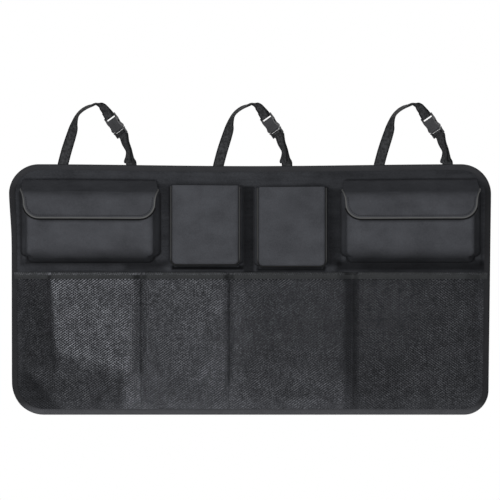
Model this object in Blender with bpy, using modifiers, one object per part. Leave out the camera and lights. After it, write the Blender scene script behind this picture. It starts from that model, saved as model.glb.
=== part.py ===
"""Hanging trunk organizer for the back of a rear seat.

A bound fabric panel carries two flap pockets, two box pockets and one net sheet sewn down in four bays.
Three webbing loops with side-release buckles go round the headrest posts, and three hook strips hold the
back to the carpet. Metres. X runs to the right, Y runs back into the seat and Z is up.
The origin is the centre of the middle hook strip's outer face.
"""

import math

import bmesh
import bpy
from mathutils import Matrix, Vector

# Clearance between pieces that touch
GAP = 0.0003

# Panel
PANEL_TOP_WIDTH = 0.900
PANEL_BOTTOM_WIDTH = 0.888
PANEL_HEIGHT = 0.466
PANEL_THICKNESS = 0.0024
PANEL_TOP = PANEL_HEIGHT / 2
PANEL_BOTTOM = -PANEL_HEIGHT / 2
PANEL_LEFT = -PANEL_TOP_WIDTH / 2
TOP_CORNER_RADIUS = 0.055
BOTTOM_LEFT_RADIUS = 0.060
BOTTOM_RIGHT_RADIUS = 0.045
CORNER_STEPS = 7

# Edge binding, a folded tape round the whole panel
BINDING_THICKNESS = 0.0007
BINDING_LEG = 0.010

# Hook strips on the back
HOOK_STRIP_WIDTH = 0.050
HOOK_STRIP_END_MARGIN = 0.053
HOOK_STRIP_HEIGHT = PANEL_HEIGHT - 2 * HOOK_STRIP_END_MARGIN
HOOK_STRIP_THICKNESS = 0.0023
HOOK_STRIP_PITCH = PANEL_TOP_WIDTH / 3

# Net sheet and its top tape
NET_THICKNESS = 0.0008
NET_BELOW_TOP = 0.202
NET_TOP_Z = PANEL_TOP - NET_BELOW_TOP
NET_EDGE_INSET = 0.002
NET_SEAMS_FROM_LEFT = (0.2465, 0.411, 0.643)
NET_SEAM_X = tuple(PANEL_LEFT + along for along in NET_SEAMS_FROM_LEFT)
NET_TOP_STANDOFF = 0.0017
NET_SIDE_STEP = 0.003
NET_BOTTOM_RISE = 0.085
NET_BORDER_RISE = 0.018
NET_ROW_RISES = (0.010, 0.022, 0.038, 0.058, 0.085, 0.150)
NET_TAPE_MARGIN = 0.001
TAPE_HEIGHT = 0.008
TAPE_THICKNESS = 0.0005

# Depth of each net bay, and how far its left and right sides take to rise
NET_BAYS = (
    {"depth": 0.024, "left": 0.062, "right": 0.014},
    {"depth": 0.017, "left": 0.014, "right": 0.016},
    {"depth": 0.019, "left": 0.018, "right": 0.020},
    {"depth": 0.016, "left": 0.016, "right": 0.040},
)

# Cloth of the pockets
POUCH_THICKNESS = 0.0014
FLANGE_WIDTH = 0.007

# Flap pockets
FLAP_POCKET_FROM_EDGE = 0.149
FLAP_POCKET_X = -PANEL_LEFT - FLAP_POCKET_FROM_EDGE
FLAP_POCKET_DEPTH = 0.050
FLAP_POCKET_FRONT_WIDTH = 0.238
FLAP_POCKET_BASE_WIDTH = 0.252
FLAP_POCKET_BELOW_TOP = 0.047
FLAP_POCKET_FRONT_HEIGHT = 0.125
FLAP_POCKET_BASE_DROP = 0.011
FLAP_POCKET_TOP_Z = PANEL_TOP - FLAP_POCKET_BELOW_TOP
FLAP_POCKET_FRONT_BOTTOM_Z = FLAP_POCKET_TOP_Z - FLAP_POCKET_FRONT_HEIGHT
FLAP_POCKET_BASE_BOTTOM_Z = FLAP_POCKET_FRONT_BOTTOM_Z - FLAP_POCKET_BASE_DROP
FLAP_POCKET_ROUNDING = 0.012

# Flap
FLAP_THICKNESS = 0.0016
FLAP_SEAM_BELOW_TOP = 0.026
FLAP_SEAM_Z = PANEL_TOP - FLAP_SEAM_BELOW_TOP
FLAP_HEM = 0.008
FLAP_HEM_FOLD_RADIUS = 0.0015
FLAP_SLOPE_DEG = 15.0
FLAP_BEND_RADIUS = 0.012
FLAP_HEIGHT = 0.0715
FLAP_BOTTOM_Z = FLAP_SEAM_Z - FLAP_HEIGHT
FLAP_SEAM_WIDTH = 0.250
FLAP_EAR_WIDTH = 0.257
FLAP_DROP_WIDTH = 0.246
FLAP_EAR_FADE = 0.012
FLAP_CORNER_RADIUS = 0.025
FLAP_PIPING_RADIUS = 0.0015

# Hook and loop closure under each flap
PATCH_WIDTH = 0.080
PATCH_HEIGHT = 0.020
PATCH_THICKNESS = 0.0010
PATCH_ABOVE_FLAP_EDGE = 0.012

# Box pockets, each with its own place in the row
BOX_POCKETS = {"left": {"x": -0.0825, "below_top": 0.037}, "right": {"x": 0.0785, "below_top": 0.040}}
BOX_POCKET_DEPTH = 0.035
BOX_POCKET_FRONT_WIDTH = 0.122
BOX_POCKET_BASE_WIDTH = 0.134
BOX_POCKET_FRONT_HEIGHT = 0.150
BOX_POCKET_BASE_DROP = 0.005
BOX_POCKET_ROUNDING = 0.006
BOX_PIPING_RADIUS = 0.0015
BOX_PIPING_SETBACK = 0.004

# Webbing
WEBBING_WIDTH = 0.020
WEBBING_THICKNESS = 0.0012
LEFT_LOOP_FROM_EDGE = 0.165
MIDDLE_LOOP_OFFSET = 0.006
RIGHT_LOOP_FROM_EDGE = 0.144
LOOP_CENTRES = {
    "left": PANEL_LEFT + LEFT_LOOP_FROM_EDGE,
    "middle": MIDDLE_LOOP_OFFSET,
    "right": -PANEL_LEFT - RIGHT_LOOP_FROM_EDGE,
}
STRAP_TAB = 0.028

# Buckle, along its own axis from the centre of the upper bar
BUCKLE_WIDTH = 0.026
BUCKLE_THICKNESS = 0.0084
BUCKLE_RAIL = 0.0024
BUCKLE_CAVITY_THICKNESS = 0.0052
UPPER_BAR_RADIUS = 0.0016
SOCKET_TOP = 0.0056
SOCKET_MOUTH = 0.0300
SOCKET_FLOOR = 0.0090
SOCKET_WALL = 0.0022
WINDOW_TOP = 0.0135
WINDOW_BOTTOM = 0.0225
SHOULDER_LENGTH = 0.0026
RAIL_THICKNESS = 0.0038
LADDER_THICKNESS = 0.0028
LADDER_BAR_RADIUS = 0.0011
LADDER_BAR_PITCH = 0.005
LADDER_SLACK = 0.0003
PRONG_THICKNESS = 0.0044
PRONG_ARM = 0.0020
PRONG_CLEARANCE = 0.0004

# The buckle's place on each loop, from the loop's centre and the panel's top edge
BUCKLE_FROM_LOOP = Vector((0.0233, -0.0140, 0.0896))
BUCKLE_LEAN_DEG = 34.5
BUCKLE_TURN_DEG = 150.0

# Long strap: x, y, z from the loop's centre and the panel's top edge, and the turn of its width
LONG_STRAP_ROUTE = (
    (-0.0646, -0.0007, 0.0000, 0.0),
    (-0.0626, -0.0012, 0.0080, 2.0),
    (-0.0568, -0.0050, 0.0289, 6.0),
    (-0.0461, -0.0100, 0.0627, 18.0),
    (-0.0432, -0.0115, 0.0765, 34.0),
    (-0.0385, -0.0130, 0.0911, 56.0),
    (-0.0316, -0.0140, 0.1003, 68.0),
    (-0.0222, -0.0140, 0.1074, 76.0),
    (-0.0119, -0.0140, 0.1120, 83.0),
    (-0.0026, -0.0140, 0.1136, 92.0),
    (0.0068, -0.0140, 0.1108, 112.0),
    (0.0110, -0.0140, 0.1070, 130.0),
)

# Short strap, from the buckle's ladder down to the panel
SHORT_STRAP_ROUTE = (
    (0.0540, -0.0108, 0.0410, 150.0),
    (0.0595, -0.0098, 0.0300, 136.0),
    (0.0622, -0.0075, 0.0200, 128.0),
    (0.0632, -0.0045, 0.0110, 146.0),
    (0.0634, -0.0008, 0.0035, 180.0),
    (0.0634, -0.0007, -0.0040, 180.0),
)
STRAP_FOLD_END = -0.0125
TAIL_SHIFT = 0.005
TAIL_STANDOFF = 0.0010
TAIL_END_Z = 0.007
ROUTE_STEPS = 3
LEAD_ROWS = 7

# Planes from the back to the front
PANEL_BACK = -(HOOK_STRIP_THICKNESS + GAP)
PANEL_FRONT = PANEL_BACK - PANEL_THICKNESS
BINDING_BACK = PANEL_BACK + GAP + BINDING_THICKNESS
BINDING_INNER_FRONT = PANEL_FRONT - 2 * GAP - NET_THICKNESS
TAB_Y = BINDING_BACK + GAP + WEBBING_THICKNESS / 2

X_AXIS = Vector((1, 0, 0))
Y_AXIS = Vector((0, 1, 0))
Z_AXIS = Vector((0, 0, 1))


# Scene, collections and materials


def clear_scene():
    for obj in list(bpy.data.objects):
        bpy.data.objects.remove(obj)


def new_collection(name):
    collection = bpy.data.collections.new(name)
    bpy.context.scene.collection.children.link(collection)
    return collection


def material(name, colour, roughness, metallic=0.0):
    made = bpy.data.materials.new(name)
    made.use_nodes = True
    shader = made.node_tree.nodes["Principled BSDF"]
    shader.inputs["Base Color"].default_value = (*colour, 1.0)
    shader.inputs["Roughness"].default_value = roughness
    shader.inputs["Metallic"].default_value = metallic
    return made


clear_scene()
ORGANIZER = new_collection("hanging_trunk_organizer")
CUTTERS = new_collection("cutters")

PANEL_CLOTH = material("panel_cloth", (0.022, 0.023, 0.026), 0.85)
POCKET_CLOTH = material("pocket_cloth", (0.045, 0.047, 0.053), 0.62)
BINDING_TAPE = material("binding_tape", (0.016, 0.017, 0.018), 0.80)
GREY_PIPING = material("grey_piping", (0.110, 0.110, 0.105), 0.60)
NET_CLOTH = material("net_cloth", (0.050, 0.052, 0.058), 0.70)
WEBBING = material("webbing", (0.030, 0.030, 0.032), 0.75)
BUCKLE_PLASTIC = material("buckle_plastic", (0.035, 0.035, 0.038), 0.38)
HOOK_TAPE = material("hook_tape", (0.012, 0.012, 0.013), 0.90)


def add_object(name, data, look):
    obj = bpy.data.objects.new(name, data)
    data.materials.clear()
    data.materials.append(look)
    ORGANIZER.objects.link(obj)
    return obj


def mesh_of(name, shape):
    """A bmesh written to a new mesh, with its normals recalculated."""
    bmesh.ops.recalc_face_normals(shape, faces=shape.faces)
    mesh = bpy.data.meshes.new(name)
    shape.to_mesh(mesh)
    shape.free()
    return mesh


def make_cutter(obj):
    for holder in list(obj.users_collection):
        holder.objects.unlink(obj)
    CUTTERS.objects.link(obj)
    obj.hide_render = True
    obj.display_type = "WIRE"
    return obj


def boolean(obj, other, operation):
    made = obj.modifiers.new(operation.lower(), "BOOLEAN")
    made.operation = operation
    made.object = make_cutter(other)


def as_mesh(obj):
    """A curve or a piece with modifiers, made a plain closed mesh in the same place, with its origin at zero."""
    bpy.context.view_layer.update()
    graph = bpy.context.evaluated_depsgraph_get()
    mesh = bpy.data.meshes.new_from_object(obj.evaluated_get(graph))
    shape = bmesh.new()
    shape.from_mesh(mesh)
    bmesh.ops.transform(shape, matrix=obj.matrix_world, verts=shape.verts)
    bmesh.ops.remove_doubles(shape, verts=shape.verts, dist=1e-6)
    shape.to_mesh(mesh)
    shape.free()
    made = bpy.data.objects.new(obj.name, mesh)
    for holder in list(obj.users_collection):
        holder.objects.link(made)
    name = obj.name
    bpy.data.objects.remove(obj)
    made.name = name
    return made


# Shapes that several pieces share


def box(name, low, high, look):
    """A block between two corners."""
    shape = bmesh.new()
    bmesh.ops.create_cube(shape, size=1.0)
    low, high = Vector(low), Vector(high)
    for vert in shape.verts:
        vert.co = Vector(low[k] if vert.co[k] < 0 else high[k] for k in range(3))
    return add_object(name, mesh_of(name, shape), look)


def bar(name, radius, length, look, at=(0, 0, 0)):
    """A round bar along X."""
    shape = bmesh.new()
    lie_down = Matrix.Rotation(math.pi / 2, 4, "Y")
    bmesh.ops.create_cone(
        shape, cap_ends=True, segments=12, radius1=radius, radius2=radius, depth=length,
        matrix=Matrix.Translation(at) @ lie_down,
    )
    return add_object(name, mesh_of(name, shape), look)


def flat_solid(name, outlines, back, front, look):
    """Closed outlines in X and Z, made solid between two Y planes. Outlines inside the first are holes."""
    curve = bpy.data.curves.new(name, "CURVE")
    curve.dimensions = "2D"
    curve.fill_mode = "BOTH"
    curve.extrude = (back - front) / 2
    for outline in outlines:
        spline = curve.splines.new("POLY")
        spline.points.add(len(outline) - 1)
        for point, (x, z) in zip(spline.points, outline):
            point.co = (x, z, 0, 1)
        spline.use_cyclic_u = True
    obj = add_object(name, curve, look)
    obj.location.y = (back + front) / 2
    obj.rotation_euler.x = math.pi / 2
    return as_mesh(obj)


def tube(name, points, radius, look):
    """A round cord along points, with closed ends."""
    curve = bpy.data.curves.new(name, "CURVE")
    curve.dimensions = "3D"
    curve.bevel_depth = radius
    curve.bevel_resolution = 1
    curve.use_fill_caps = True
    spline = curve.splines.new("POLY")
    spline.points.add(len(points) - 1)
    for point, place in zip(spline.points, points):
        point.co = (*place, 1)
    return add_object(name, curve, look)


def sheet(name, rows, thickness, look, offset=0.0):
    """A sheet through rows of points, given a thickness. Offset is Solidify's own."""
    across = len(rows[0])
    shape = bmesh.new()
    bmesh.ops.create_grid(shape, x_segments=across - 1, y_segments=len(rows) - 1, size=1.0)
    ordered = sorted(shape.verts, key=lambda vert: (round(vert.co.y, 5), round(vert.co.x, 5)))
    for vert, place in zip(ordered, (place for row in rows for place in row)):
        vert.co = place
    mesh = bpy.data.meshes.new(name)
    shape.to_mesh(mesh)
    shape.free()
    obj = add_object(name, mesh, look)
    wall = obj.modifiers.new("thickness", "SOLIDIFY")
    wall.thickness = thickness
    wall.offset = offset
    wall.use_even_offset = True
    return obj


def bevel(obj, width, segments=2):
    made = obj.modifiers.new("rounding", "BEVEL")
    made.width = width
    made.segments = segments
    made.limit_method = "ANGLE"


def arc(centre, radius, start_deg, end_deg, steps):
    """Points on a circle in two dimensions, both ends included."""
    turn = math.radians(end_deg - start_deg)
    start = math.radians(start_deg)
    angles = [start + turn * k / steps for k in range(steps + 1)]
    return [(centre[0] + radius * math.cos(a), centre[1] + radius * math.sin(a)) for a in angles]


def smooth(share):
    share = min(1.0, max(0.0, share))
    return share * share * (3 - 2 * share)


def catmull_rom(stations, steps):
    """A smooth curve through stations of any number of values, steps to each span."""
    ends = [stations[0], *stations, stations[-1]]
    found = []
    for k in range(1, len(ends) - 2):
        before, start, end, after = ends[k - 1 : k + 3]
        for step in range(steps):
            t = step / steps
            found.append(
                tuple(
                    0.5 * (2 * b + (c - a) * t + (2 * a - 5 * b + 4 * c - d) * t * t
                           + (3 * b - a - 3 * c + d) * t ** 3)
                    for a, b, c, d in zip(before, start, end, after)
                )
            )
    found.append(tuple(stations[-1]))
    return found


# Panel outline


def panel_corners():
    """Each corner with its radius, clockwise from the bottom left as seen from the front."""
    top, bottom = PANEL_TOP_WIDTH / 2, PANEL_BOTTOM_WIDTH / 2
    return (
        (Vector((-bottom, PANEL_BOTTOM)), BOTTOM_LEFT_RADIUS),
        (Vector((-top, PANEL_TOP)), TOP_CORNER_RADIUS),
        (Vector((top, PANEL_TOP)), TOP_CORNER_RADIUS),
        (Vector((bottom, PANEL_BOTTOM)), BOTTOM_RIGHT_RADIUS),
    )


def corner_arcs():
    """For each corner: its arc's centre, its radius, and the outward directions where the arc starts and ends."""
    corners = panel_corners()
    found = []
    for k, (corner, radius) in enumerate(corners):
        to_before = (corners[k - 1][0] - corner).normalized()
        to_after = (corners[(k + 1) % len(corners)][0] - corner).normalized()
        half = to_before.angle(to_after) / 2
        centre = corner + (to_before + to_after).normalized() * radius / math.sin(half)
        start = (corner + to_before * radius / math.tan(half) - centre).normalized()
        end = (corner + to_after * radius / math.tan(half) - centre).normalized()
        found.append((centre, radius, start, end))
    return found


def panel_outline(grow):
    """The panel's outline, moved out by grow, as X and Z pairs."""
    points = []
    for centre, radius, start, end in corner_arcs():
        for k in range(CORNER_STEPS + 1):
            outward = start.slerp(end, k / CORNER_STEPS)
            points.append(tuple(centre + outward * (radius + grow)))
    return points


def depth_inside(x, z):
    """How far a point lies inside the panel's outline."""
    point = Vector((x, z))
    arcs = corner_arcs()
    nearest = math.inf
    for k, (centre, radius, start, end) in enumerate(arcs):
        reach = point - centre
        if reach.dot(start.orthogonal()) * end.dot(start.orthogonal()) > 0 and (
            reach.dot(end.orthogonal()) * start.dot(end.orthogonal()) > 0
        ):
            return radius - reach.length
        nearest = min(nearest, radius - reach.dot(end))
    return nearest


def side_x(z, side, inset):
    """X of the panel's left (-1) or right (1) edge at height z, moved in by inset."""
    centre, radius = (corner_arcs()[0 if side < 0 else 3])[:2]
    share = (z - PANEL_BOTTOM) / PANEL_HEIGHT
    half = (PANEL_BOTTOM_WIDTH + (PANEL_TOP_WIDTH - PANEL_BOTTOM_WIDTH) * share) / 2
    straight = side * (half - inset)
    below = centre.y - z
    if below <= 0:
        return straight
    reach = math.sqrt(max(0.0, (radius - inset) ** 2 - below ** 2))
    return centre.x + side * reach


# Panel, binding and hook strips


def make_panel():
    flat_solid("back_panel", [panel_outline(0.0)], PANEL_BACK, PANEL_FRONT, PANEL_CLOTH)


def make_binding():
    """A folded tape: a flat ring with a groove for the panel's edge and the net's edge."""
    outside = panel_outline(GAP + BINDING_THICKNESS)
    ring = flat_solid(
        "edge_binding",
        [outside, panel_outline(-BINDING_LEG)],
        BINDING_BACK,
        BINDING_INNER_FRONT - BINDING_THICKNESS,
        BINDING_TAPE,
    )
    groove = flat_solid(
        "binding_groove", [panel_outline(GAP)], PANEL_BACK + GAP, BINDING_INNER_FRONT, BINDING_TAPE
    )
    boolean(ring, groove, "DIFFERENCE")


def make_hook_strips():
    half_width, half_height = HOOK_STRIP_WIDTH / 2, HOOK_STRIP_HEIGHT / 2
    for k, name in enumerate(("left", "middle", "right")):
        x = (k - 1) * HOOK_STRIP_PITCH
        box(
            "hook_strip_" + name,
            (x - half_width, -HOOK_STRIP_THICKNESS, -half_height),
            (x + half_width, 0.0, half_height),
            HOOK_TAPE,
        )


# Net sheet and its top tape


def bay_edges():
    """Left and right X of each net bay at the mouth. The outer bays end at the panel's edges."""
    left = side_x(NET_TOP_Z, -1, BINDING_LEG)
    right = side_x(NET_TOP_Z, 1, BINDING_LEG)
    edges = [left, *NET_SEAM_X, right]
    return list(zip(edges, edges[1:]))


def net_columns():
    """X of each column of the net between its bound edges, closer together where a bay's sides rise."""
    columns = []
    for (left, right), bay in zip(bay_edges(), NET_BAYS):
        start, end = left + bay["left"], right - bay["right"]
        columns += [left + (start - left) * k / 3 for k in range(3)]
        columns += [start + (end - start) * k / 4 for k in range(4)]
        columns += [end + (right - end) * k / 3 for k in range(3)]
    first, last = columns[0], bay_edges()[-1][1]
    return [first, first + NET_SIDE_STEP, *columns[1:], last - NET_SIDE_STEP, last]


def net_standoff(x, z):
    """How far the middle of the net stands in front of the panel."""
    rise = 0.0
    for (left, right), bay in zip(bay_edges(), NET_BAYS):
        if left <= x <= right:
            rise = bay["depth"] * smooth((x - left) / bay["left"]) * smooth((right - x) / bay["right"])
    height = min(z, NET_TOP_Z - TAPE_HEIGHT - NET_TAPE_MARGIN) - PANEL_BOTTOM
    inside = depth_inside(x, z) - BINDING_LEG
    rise *= smooth((height - BINDING_LEG) / NET_BOTTOM_RISE)
    rise *= smooth(inside / NET_BORDER_RISE)
    # The net leaves room for its tape at the mouth and lies flat under the binding.
    share = height / (NET_TOP_Z - PANEL_BOTTOM)
    room = (NET_TOP_STANDOFF - GAP) * smooth(2 * share - 1) * smooth(inside / NET_SIDE_STEP)
    return GAP + NET_THICKNESS / 2 + room + rise


def net_row(z):
    """One row of the net at height z. Columns close up where the panel's corners round off."""
    columns = net_columns()
    left, right = side_x(z, -1, BINDING_LEG), side_x(z, 1, BINDING_LEG)
    first_seam, last_seam = NET_SEAM_X[0], NET_SEAM_X[-1]
    places = [side_x(z, -1, NET_EDGE_INSET)]
    for x in columns:
        if x < first_seam:
            x = first_seam + (x - first_seam) * (left - first_seam) / (columns[0] - first_seam)
        elif x > last_seam:
            x = last_seam + (x - last_seam) * (right - last_seam) / (columns[-1] - last_seam)
        places.append(x)
    places.append(side_x(z, 1, NET_EDGE_INSET))
    return [(x, PANEL_FRONT - net_standoff(x, z), z) for x in places]


def make_net():
    low = PANEL_BOTTOM + NET_EDGE_INSET
    tape_low = NET_TOP_Z - TAPE_HEIGHT - NET_TAPE_MARGIN
    heights = [low, *[low + rise for rise in NET_ROW_RISES], tape_low, NET_TOP_Z]
    sheet("net_sheet", [net_row(z) for z in heights], NET_THICKNESS, NET_CLOTH)


def beside(line, reach):
    """A line in the plane moved sideways, so that each of its spans moves by reach."""
    spans = [(end - start).normalized().orthogonal() for start, end in zip(line, line[1:])]
    normals = [spans[0], *spans, spans[-1]]
    moved = []
    for place, before, after in zip(line, normals, normals[1:]):
        moved.append(place + (before + after) * reach / (1 + before.dot(after)))
    return moved


def make_net_tape():
    """The folded tape over the net's top edge: down the front, over the edge and down the back."""
    half = NET_THICKNESS / 2 + GAP + TAPE_THICKNESS / 2
    over = NET_TOP_Z + GAP + TAPE_THICKNESS / 2
    low = NET_TOP_Z - TAPE_HEIGHT
    mouth = [Vector((x, PANEL_FRONT - net_standoff(x, NET_TOP_Z))) for x in net_columns()[1:-1]]
    front, back = beside(mouth, -half), beside(mouth, half)
    rows = [[(*place, z) for place in line] for z, line in ((low, front), (over, front), (over, back), (low, back))]
    sheet("net_top_tape", rows, TAPE_THICKNESS, BINDING_TAPE)


# Pockets


def make_pouch(name, x, top, front_bottom, base_bottom, front_width, base_width, depth, rounding):
    """An open-topped pouch: a block without its top and back, rounded, with a sewn flange on the panel."""
    shape = bmesh.new()
    bmesh.ops.create_cube(shape, size=1.0)
    base_y = PANEL_FRONT - GAP - POUCH_THICKNESS
    front_y = PANEL_FRONT - depth
    for vert in shape.verts:
        front = vert.co.y < 0
        half = (front_width if front else base_width) / 2
        low = front_bottom if front else base_bottom
        vert.co = (
            x + math.copysign(half, vert.co.x),
            front_y if front else base_y,
            top if vert.co.z > 0 else low,
        )
    open_faces = [f for f in shape.faces if f.normal.z > 0.9 or f.normal.y > 0.9]
    bmesh.ops.delete(shape, geom=open_faces, context="FACES")
    folds = [edge for edge in shape.edges if len(edge.link_faces) == 2]
    bmesh.ops.bevel(shape, geom=folds, offset=rounding, segments=3, profile=0.5, affect="EDGES")
    rim = [
        edge for edge in shape.edges
        if edge.is_boundary and all(abs(vert.co.y - base_y) < 1e-6 for vert in edge.verts)
    ]
    grown = bmesh.ops.extrude_edge_only(shape, edges=rim)["geom"]
    half, floor = base_width / 2 - rounding, base_bottom + rounding
    for vert in (item for item in grown if isinstance(item, bmesh.types.BMVert)):
        core = Vector((min(max(vert.co.x, x - half), x + half), vert.co.y, max(vert.co.z, floor)))
        vert.co += (vert.co - core).normalized() * FLANGE_WIDTH
    mesh = mesh_of(name, shape)
    if mesh.polygons[0].normal.y > 0 and abs(mesh.polygons[0].normal.y) > 0.5:
        mesh.flip_normals()
    obj = add_object(name, mesh, POCKET_CLOTH)
    wall = obj.modifiers.new("thickness", "SOLIDIFY")
    wall.thickness = POUCH_THICKNESS
    wall.offset = -1.0
    wall.use_even_offset = True
    return obj


def flap_profile():
    """The flap's middle surface seen from the side, as Y and Z pairs, from its hidden hem to its free edge."""
    hem_y = PANEL_FRONT - GAP - FLAP_THICKNESS / 2
    fold = (hem_y - FLAP_HEM_FOLD_RADIUS, FLAP_SEAM_Z - FLAP_HEM_FOLD_RADIUS)
    drop_y = flap_drop_y()
    slope = math.radians(FLAP_SLOPE_DEG)
    over = arc(fold, FLAP_HEM_FOLD_RADIUS, 0, 90 + FLAP_SLOPE_DEG, 5)
    # The slope's straight run ends where the front bend starts.
    bend_y = drop_y + FLAP_BEND_RADIUS
    start_y = bend_y - FLAP_BEND_RADIUS * math.sin(slope)
    start_z = over[-1][1] - (over[-1][0] - start_y) * math.tan(slope)
    bend = (bend_y, start_z - FLAP_BEND_RADIUS * math.cos(slope))
    turn = arc(bend, FLAP_BEND_RADIUS, 90 + FLAP_SLOPE_DEG, 180, 5)
    corner_z = FLAP_BOTTOM_Z + FLAP_CORNER_RADIUS
    corner = [(drop_y, corner_z - FLAP_CORNER_RADIUS * math.sin(math.radians(15 * k))) for k in range(7)]
    fade = [(drop_y, turn[-1][1] - FLAP_EAR_FADE * share) for share in (0.4, 0.8)]
    return [(hem_y, FLAP_SEAM_Z - FLAP_HEM), *over, *turn, *fade, *corner]


def flap_drop_y():
    """Y of the flap's middle surface where it hangs down in front of the pouch."""
    pouch_front = PANEL_FRONT - FLAP_POCKET_DEPTH
    return pouch_front - 3 * GAP - 2 * PATCH_THICKNESS - FLAP_THICKNESS / 2


def flap_bend_end():
    """Height at which the flap starts to hang straight down."""
    return next(z for y, z in flap_profile()[6:] if abs(y - flap_drop_y()) < 1e-6)


def flap_half_width(y, z):
    """Half the flap's width: wider at its ears, rounded at its lower corners."""
    if y > flap_drop_y() + 1e-6:
        share = smooth((PANEL_FRONT - y) / FLAP_POCKET_DEPTH)
        return (FLAP_SEAM_WIDTH + (FLAP_EAR_WIDTH - FLAP_SEAM_WIDTH) * share) / 2
    faded = smooth((flap_bend_end() - z) / FLAP_EAR_FADE)
    half = (FLAP_EAR_WIDTH + (FLAP_DROP_WIDTH - FLAP_EAR_WIDTH) * faded) / 2
    below = FLAP_BOTTOM_Z + FLAP_CORNER_RADIUS - z
    if below > 0:
        half -= FLAP_CORNER_RADIUS - math.sqrt(max(0.0, FLAP_CORNER_RADIUS ** 2 - below ** 2))
    return half


def make_flap(side, x):
    rows = []
    for y, z in flap_profile():
        half = flap_half_width(y, z)
        rows.append([(x - half, y, z), (x, y, z), (x + half, y, z)])
    sheet("flap_" + side, rows, FLAP_THICKNESS, POCKET_CLOTH)


def make_flap_piping(side, x):
    """The piping along the flap's free edge, ear to ear."""
    off = GAP + FLAP_PIPING_RADIUS
    start_y, end_z = flap_drop_y() + FLAP_BEND_RADIUS / 2, FLAP_BOTTOM_Z + FLAP_CORNER_RADIUS
    down = [(y, z) for y, z in flap_profile() if y < start_y and z > end_z]
    left = [(x - flap_half_width(y, z) - off, y, z) for y, z in down]
    centre = (x - FLAP_DROP_WIDTH / 2 + FLAP_CORNER_RADIUS, FLAP_BOTTOM_Z + FLAP_CORNER_RADIUS)
    corner = arc(centre, FLAP_CORNER_RADIUS + off, 180, 270, 6)
    left += [(px, flap_drop_y(), pz) for px, pz in corner]
    right = [(2 * x - px, py, pz) for px, py, pz in reversed(left)]
    tube("flap_piping_" + side, left + right, FLAP_PIPING_RADIUS, GREY_PIPING)


def make_flap_closure(side, x):
    low = FLAP_BOTTOM_Z + PATCH_ABOVE_FLAP_EDGE
    pouch_front = PANEL_FRONT - FLAP_POCKET_DEPTH
    for name, back in (("loop_patch_", pouch_front - GAP), ("hook_patch_", pouch_front - 2 * GAP - PATCH_THICKNESS)):
        box(
            name + side,
            (x - PATCH_WIDTH / 2, back - PATCH_THICKNESS, low),
            (x + PATCH_WIDTH / 2, back, low + PATCH_HEIGHT),
            HOOK_TAPE,
        )


def make_flap_pocket(side, x):
    make_pouch(
        "flap_pouch_" + side, x, FLAP_POCKET_TOP_Z, FLAP_POCKET_FRONT_BOTTOM_Z, FLAP_POCKET_BASE_BOTTOM_Z,
        FLAP_POCKET_FRONT_WIDTH, FLAP_POCKET_BASE_WIDTH, FLAP_POCKET_DEPTH, FLAP_POCKET_ROUNDING,
    )
    make_flap(side, x)
    make_flap_piping(side, x)
    make_flap_closure(side, x)


def make_box_pocket(side, x, top):
    front_bottom = top - BOX_POCKET_FRONT_HEIGHT
    base_bottom = front_bottom - BOX_POCKET_BASE_DROP
    make_pouch(
        "box_pouch_" + side, x, top, front_bottom, base_bottom,
        BOX_POCKET_FRONT_WIDTH, BOX_POCKET_BASE_WIDTH, BOX_POCKET_DEPTH, BOX_POCKET_ROUNDING,
    )
    # The piping follows the pouch's section a little behind its front face.
    share = BOX_PIPING_SETBACK / BOX_POCKET_DEPTH
    y = PANEL_FRONT - BOX_POCKET_DEPTH + BOX_PIPING_SETBACK
    half = (BOX_POCKET_FRONT_WIDTH + (BOX_POCKET_BASE_WIDTH - BOX_POCKET_FRONT_WIDTH) * share) / 2
    low = front_bottom - BOX_POCKET_BASE_DROP * share
    off = GAP + BOX_PIPING_RADIUS
    centre = (x - half + BOX_POCKET_ROUNDING, low + BOX_POCKET_ROUNDING)
    left = [(x - half - off, y, top), (x - half - off, y, (top + low) / 2)]
    left += [(px, y, pz) for px, pz in arc(centre, BOX_POCKET_ROUNDING + off, 180, 270, 5)]
    right = [(2 * x - px, py, pz) for px, py, pz in reversed(left)]
    tube("box_piping_" + side, left + right, BOX_PIPING_RADIUS, GREY_PIPING)


# Buckle halves, made in their own frame: X across, Y back, Z up, the origin on the upper bar's axis


def buckle_frame(loop_x):
    """The matrix that puts a buckle on the loop at loop_x."""
    lean = math.radians(BUCKLE_LEAN_DEG)
    along = Vector((math.sin(lean), 0, -math.cos(lean)))
    across = strap_side(along, BUCKLE_TURN_DEG)
    back = (-along).cross(across)
    place = Vector((loop_x, 0, PANEL_TOP)) + BUCKLE_FROM_LOOP
    turn = Matrix((across, back, -along)).transposed().to_4x4()
    return Matrix.Translation(place) @ turn


def socket_outline():
    """The socket's outline: square shoulders under the bar, a waist at the windows and a wider mouth."""
    half = BUCKLE_WIDTH / 2
    right = [
        (half - 0.0004, -SOCKET_TOP),
        (half - 0.0004, -WINDOW_TOP + 0.0030),
        (half - 0.0014, -WINDOW_TOP - 0.0030),
        (half - 0.0014, -WINDOW_BOTTOM + 0.0025),
        (half + 0.0006, -WINDOW_BOTTOM - 0.0030),
        (half + 0.0004, -SOCKET_MOUTH + 0.0030),
        (half - 0.0010, -SOCKET_MOUTH),
    ]
    return [*right, *((-x, z) for x, z in reversed(right))]


def frame_outline(low, high, radius):
    """A rounded plate as wide as the buckle, between two distances along it."""
    half = BUCKLE_WIDTH / 2
    points = []
    for x, z, start in (
        (half - radius, low + radius, 270), (half - radius, high - radius, 0),
        (radius - half, high - radius, 90), (radius - half, low + radius, 180),
    ):
        points += arc((x, z), radius, start, start + 90, 3)
    return points


def block(name, half_x, half_y, low, high):
    return box(name, (-half_x, -half_y, low), (half_x, half_y, high), BUCKLE_PLASTIC)


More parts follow.
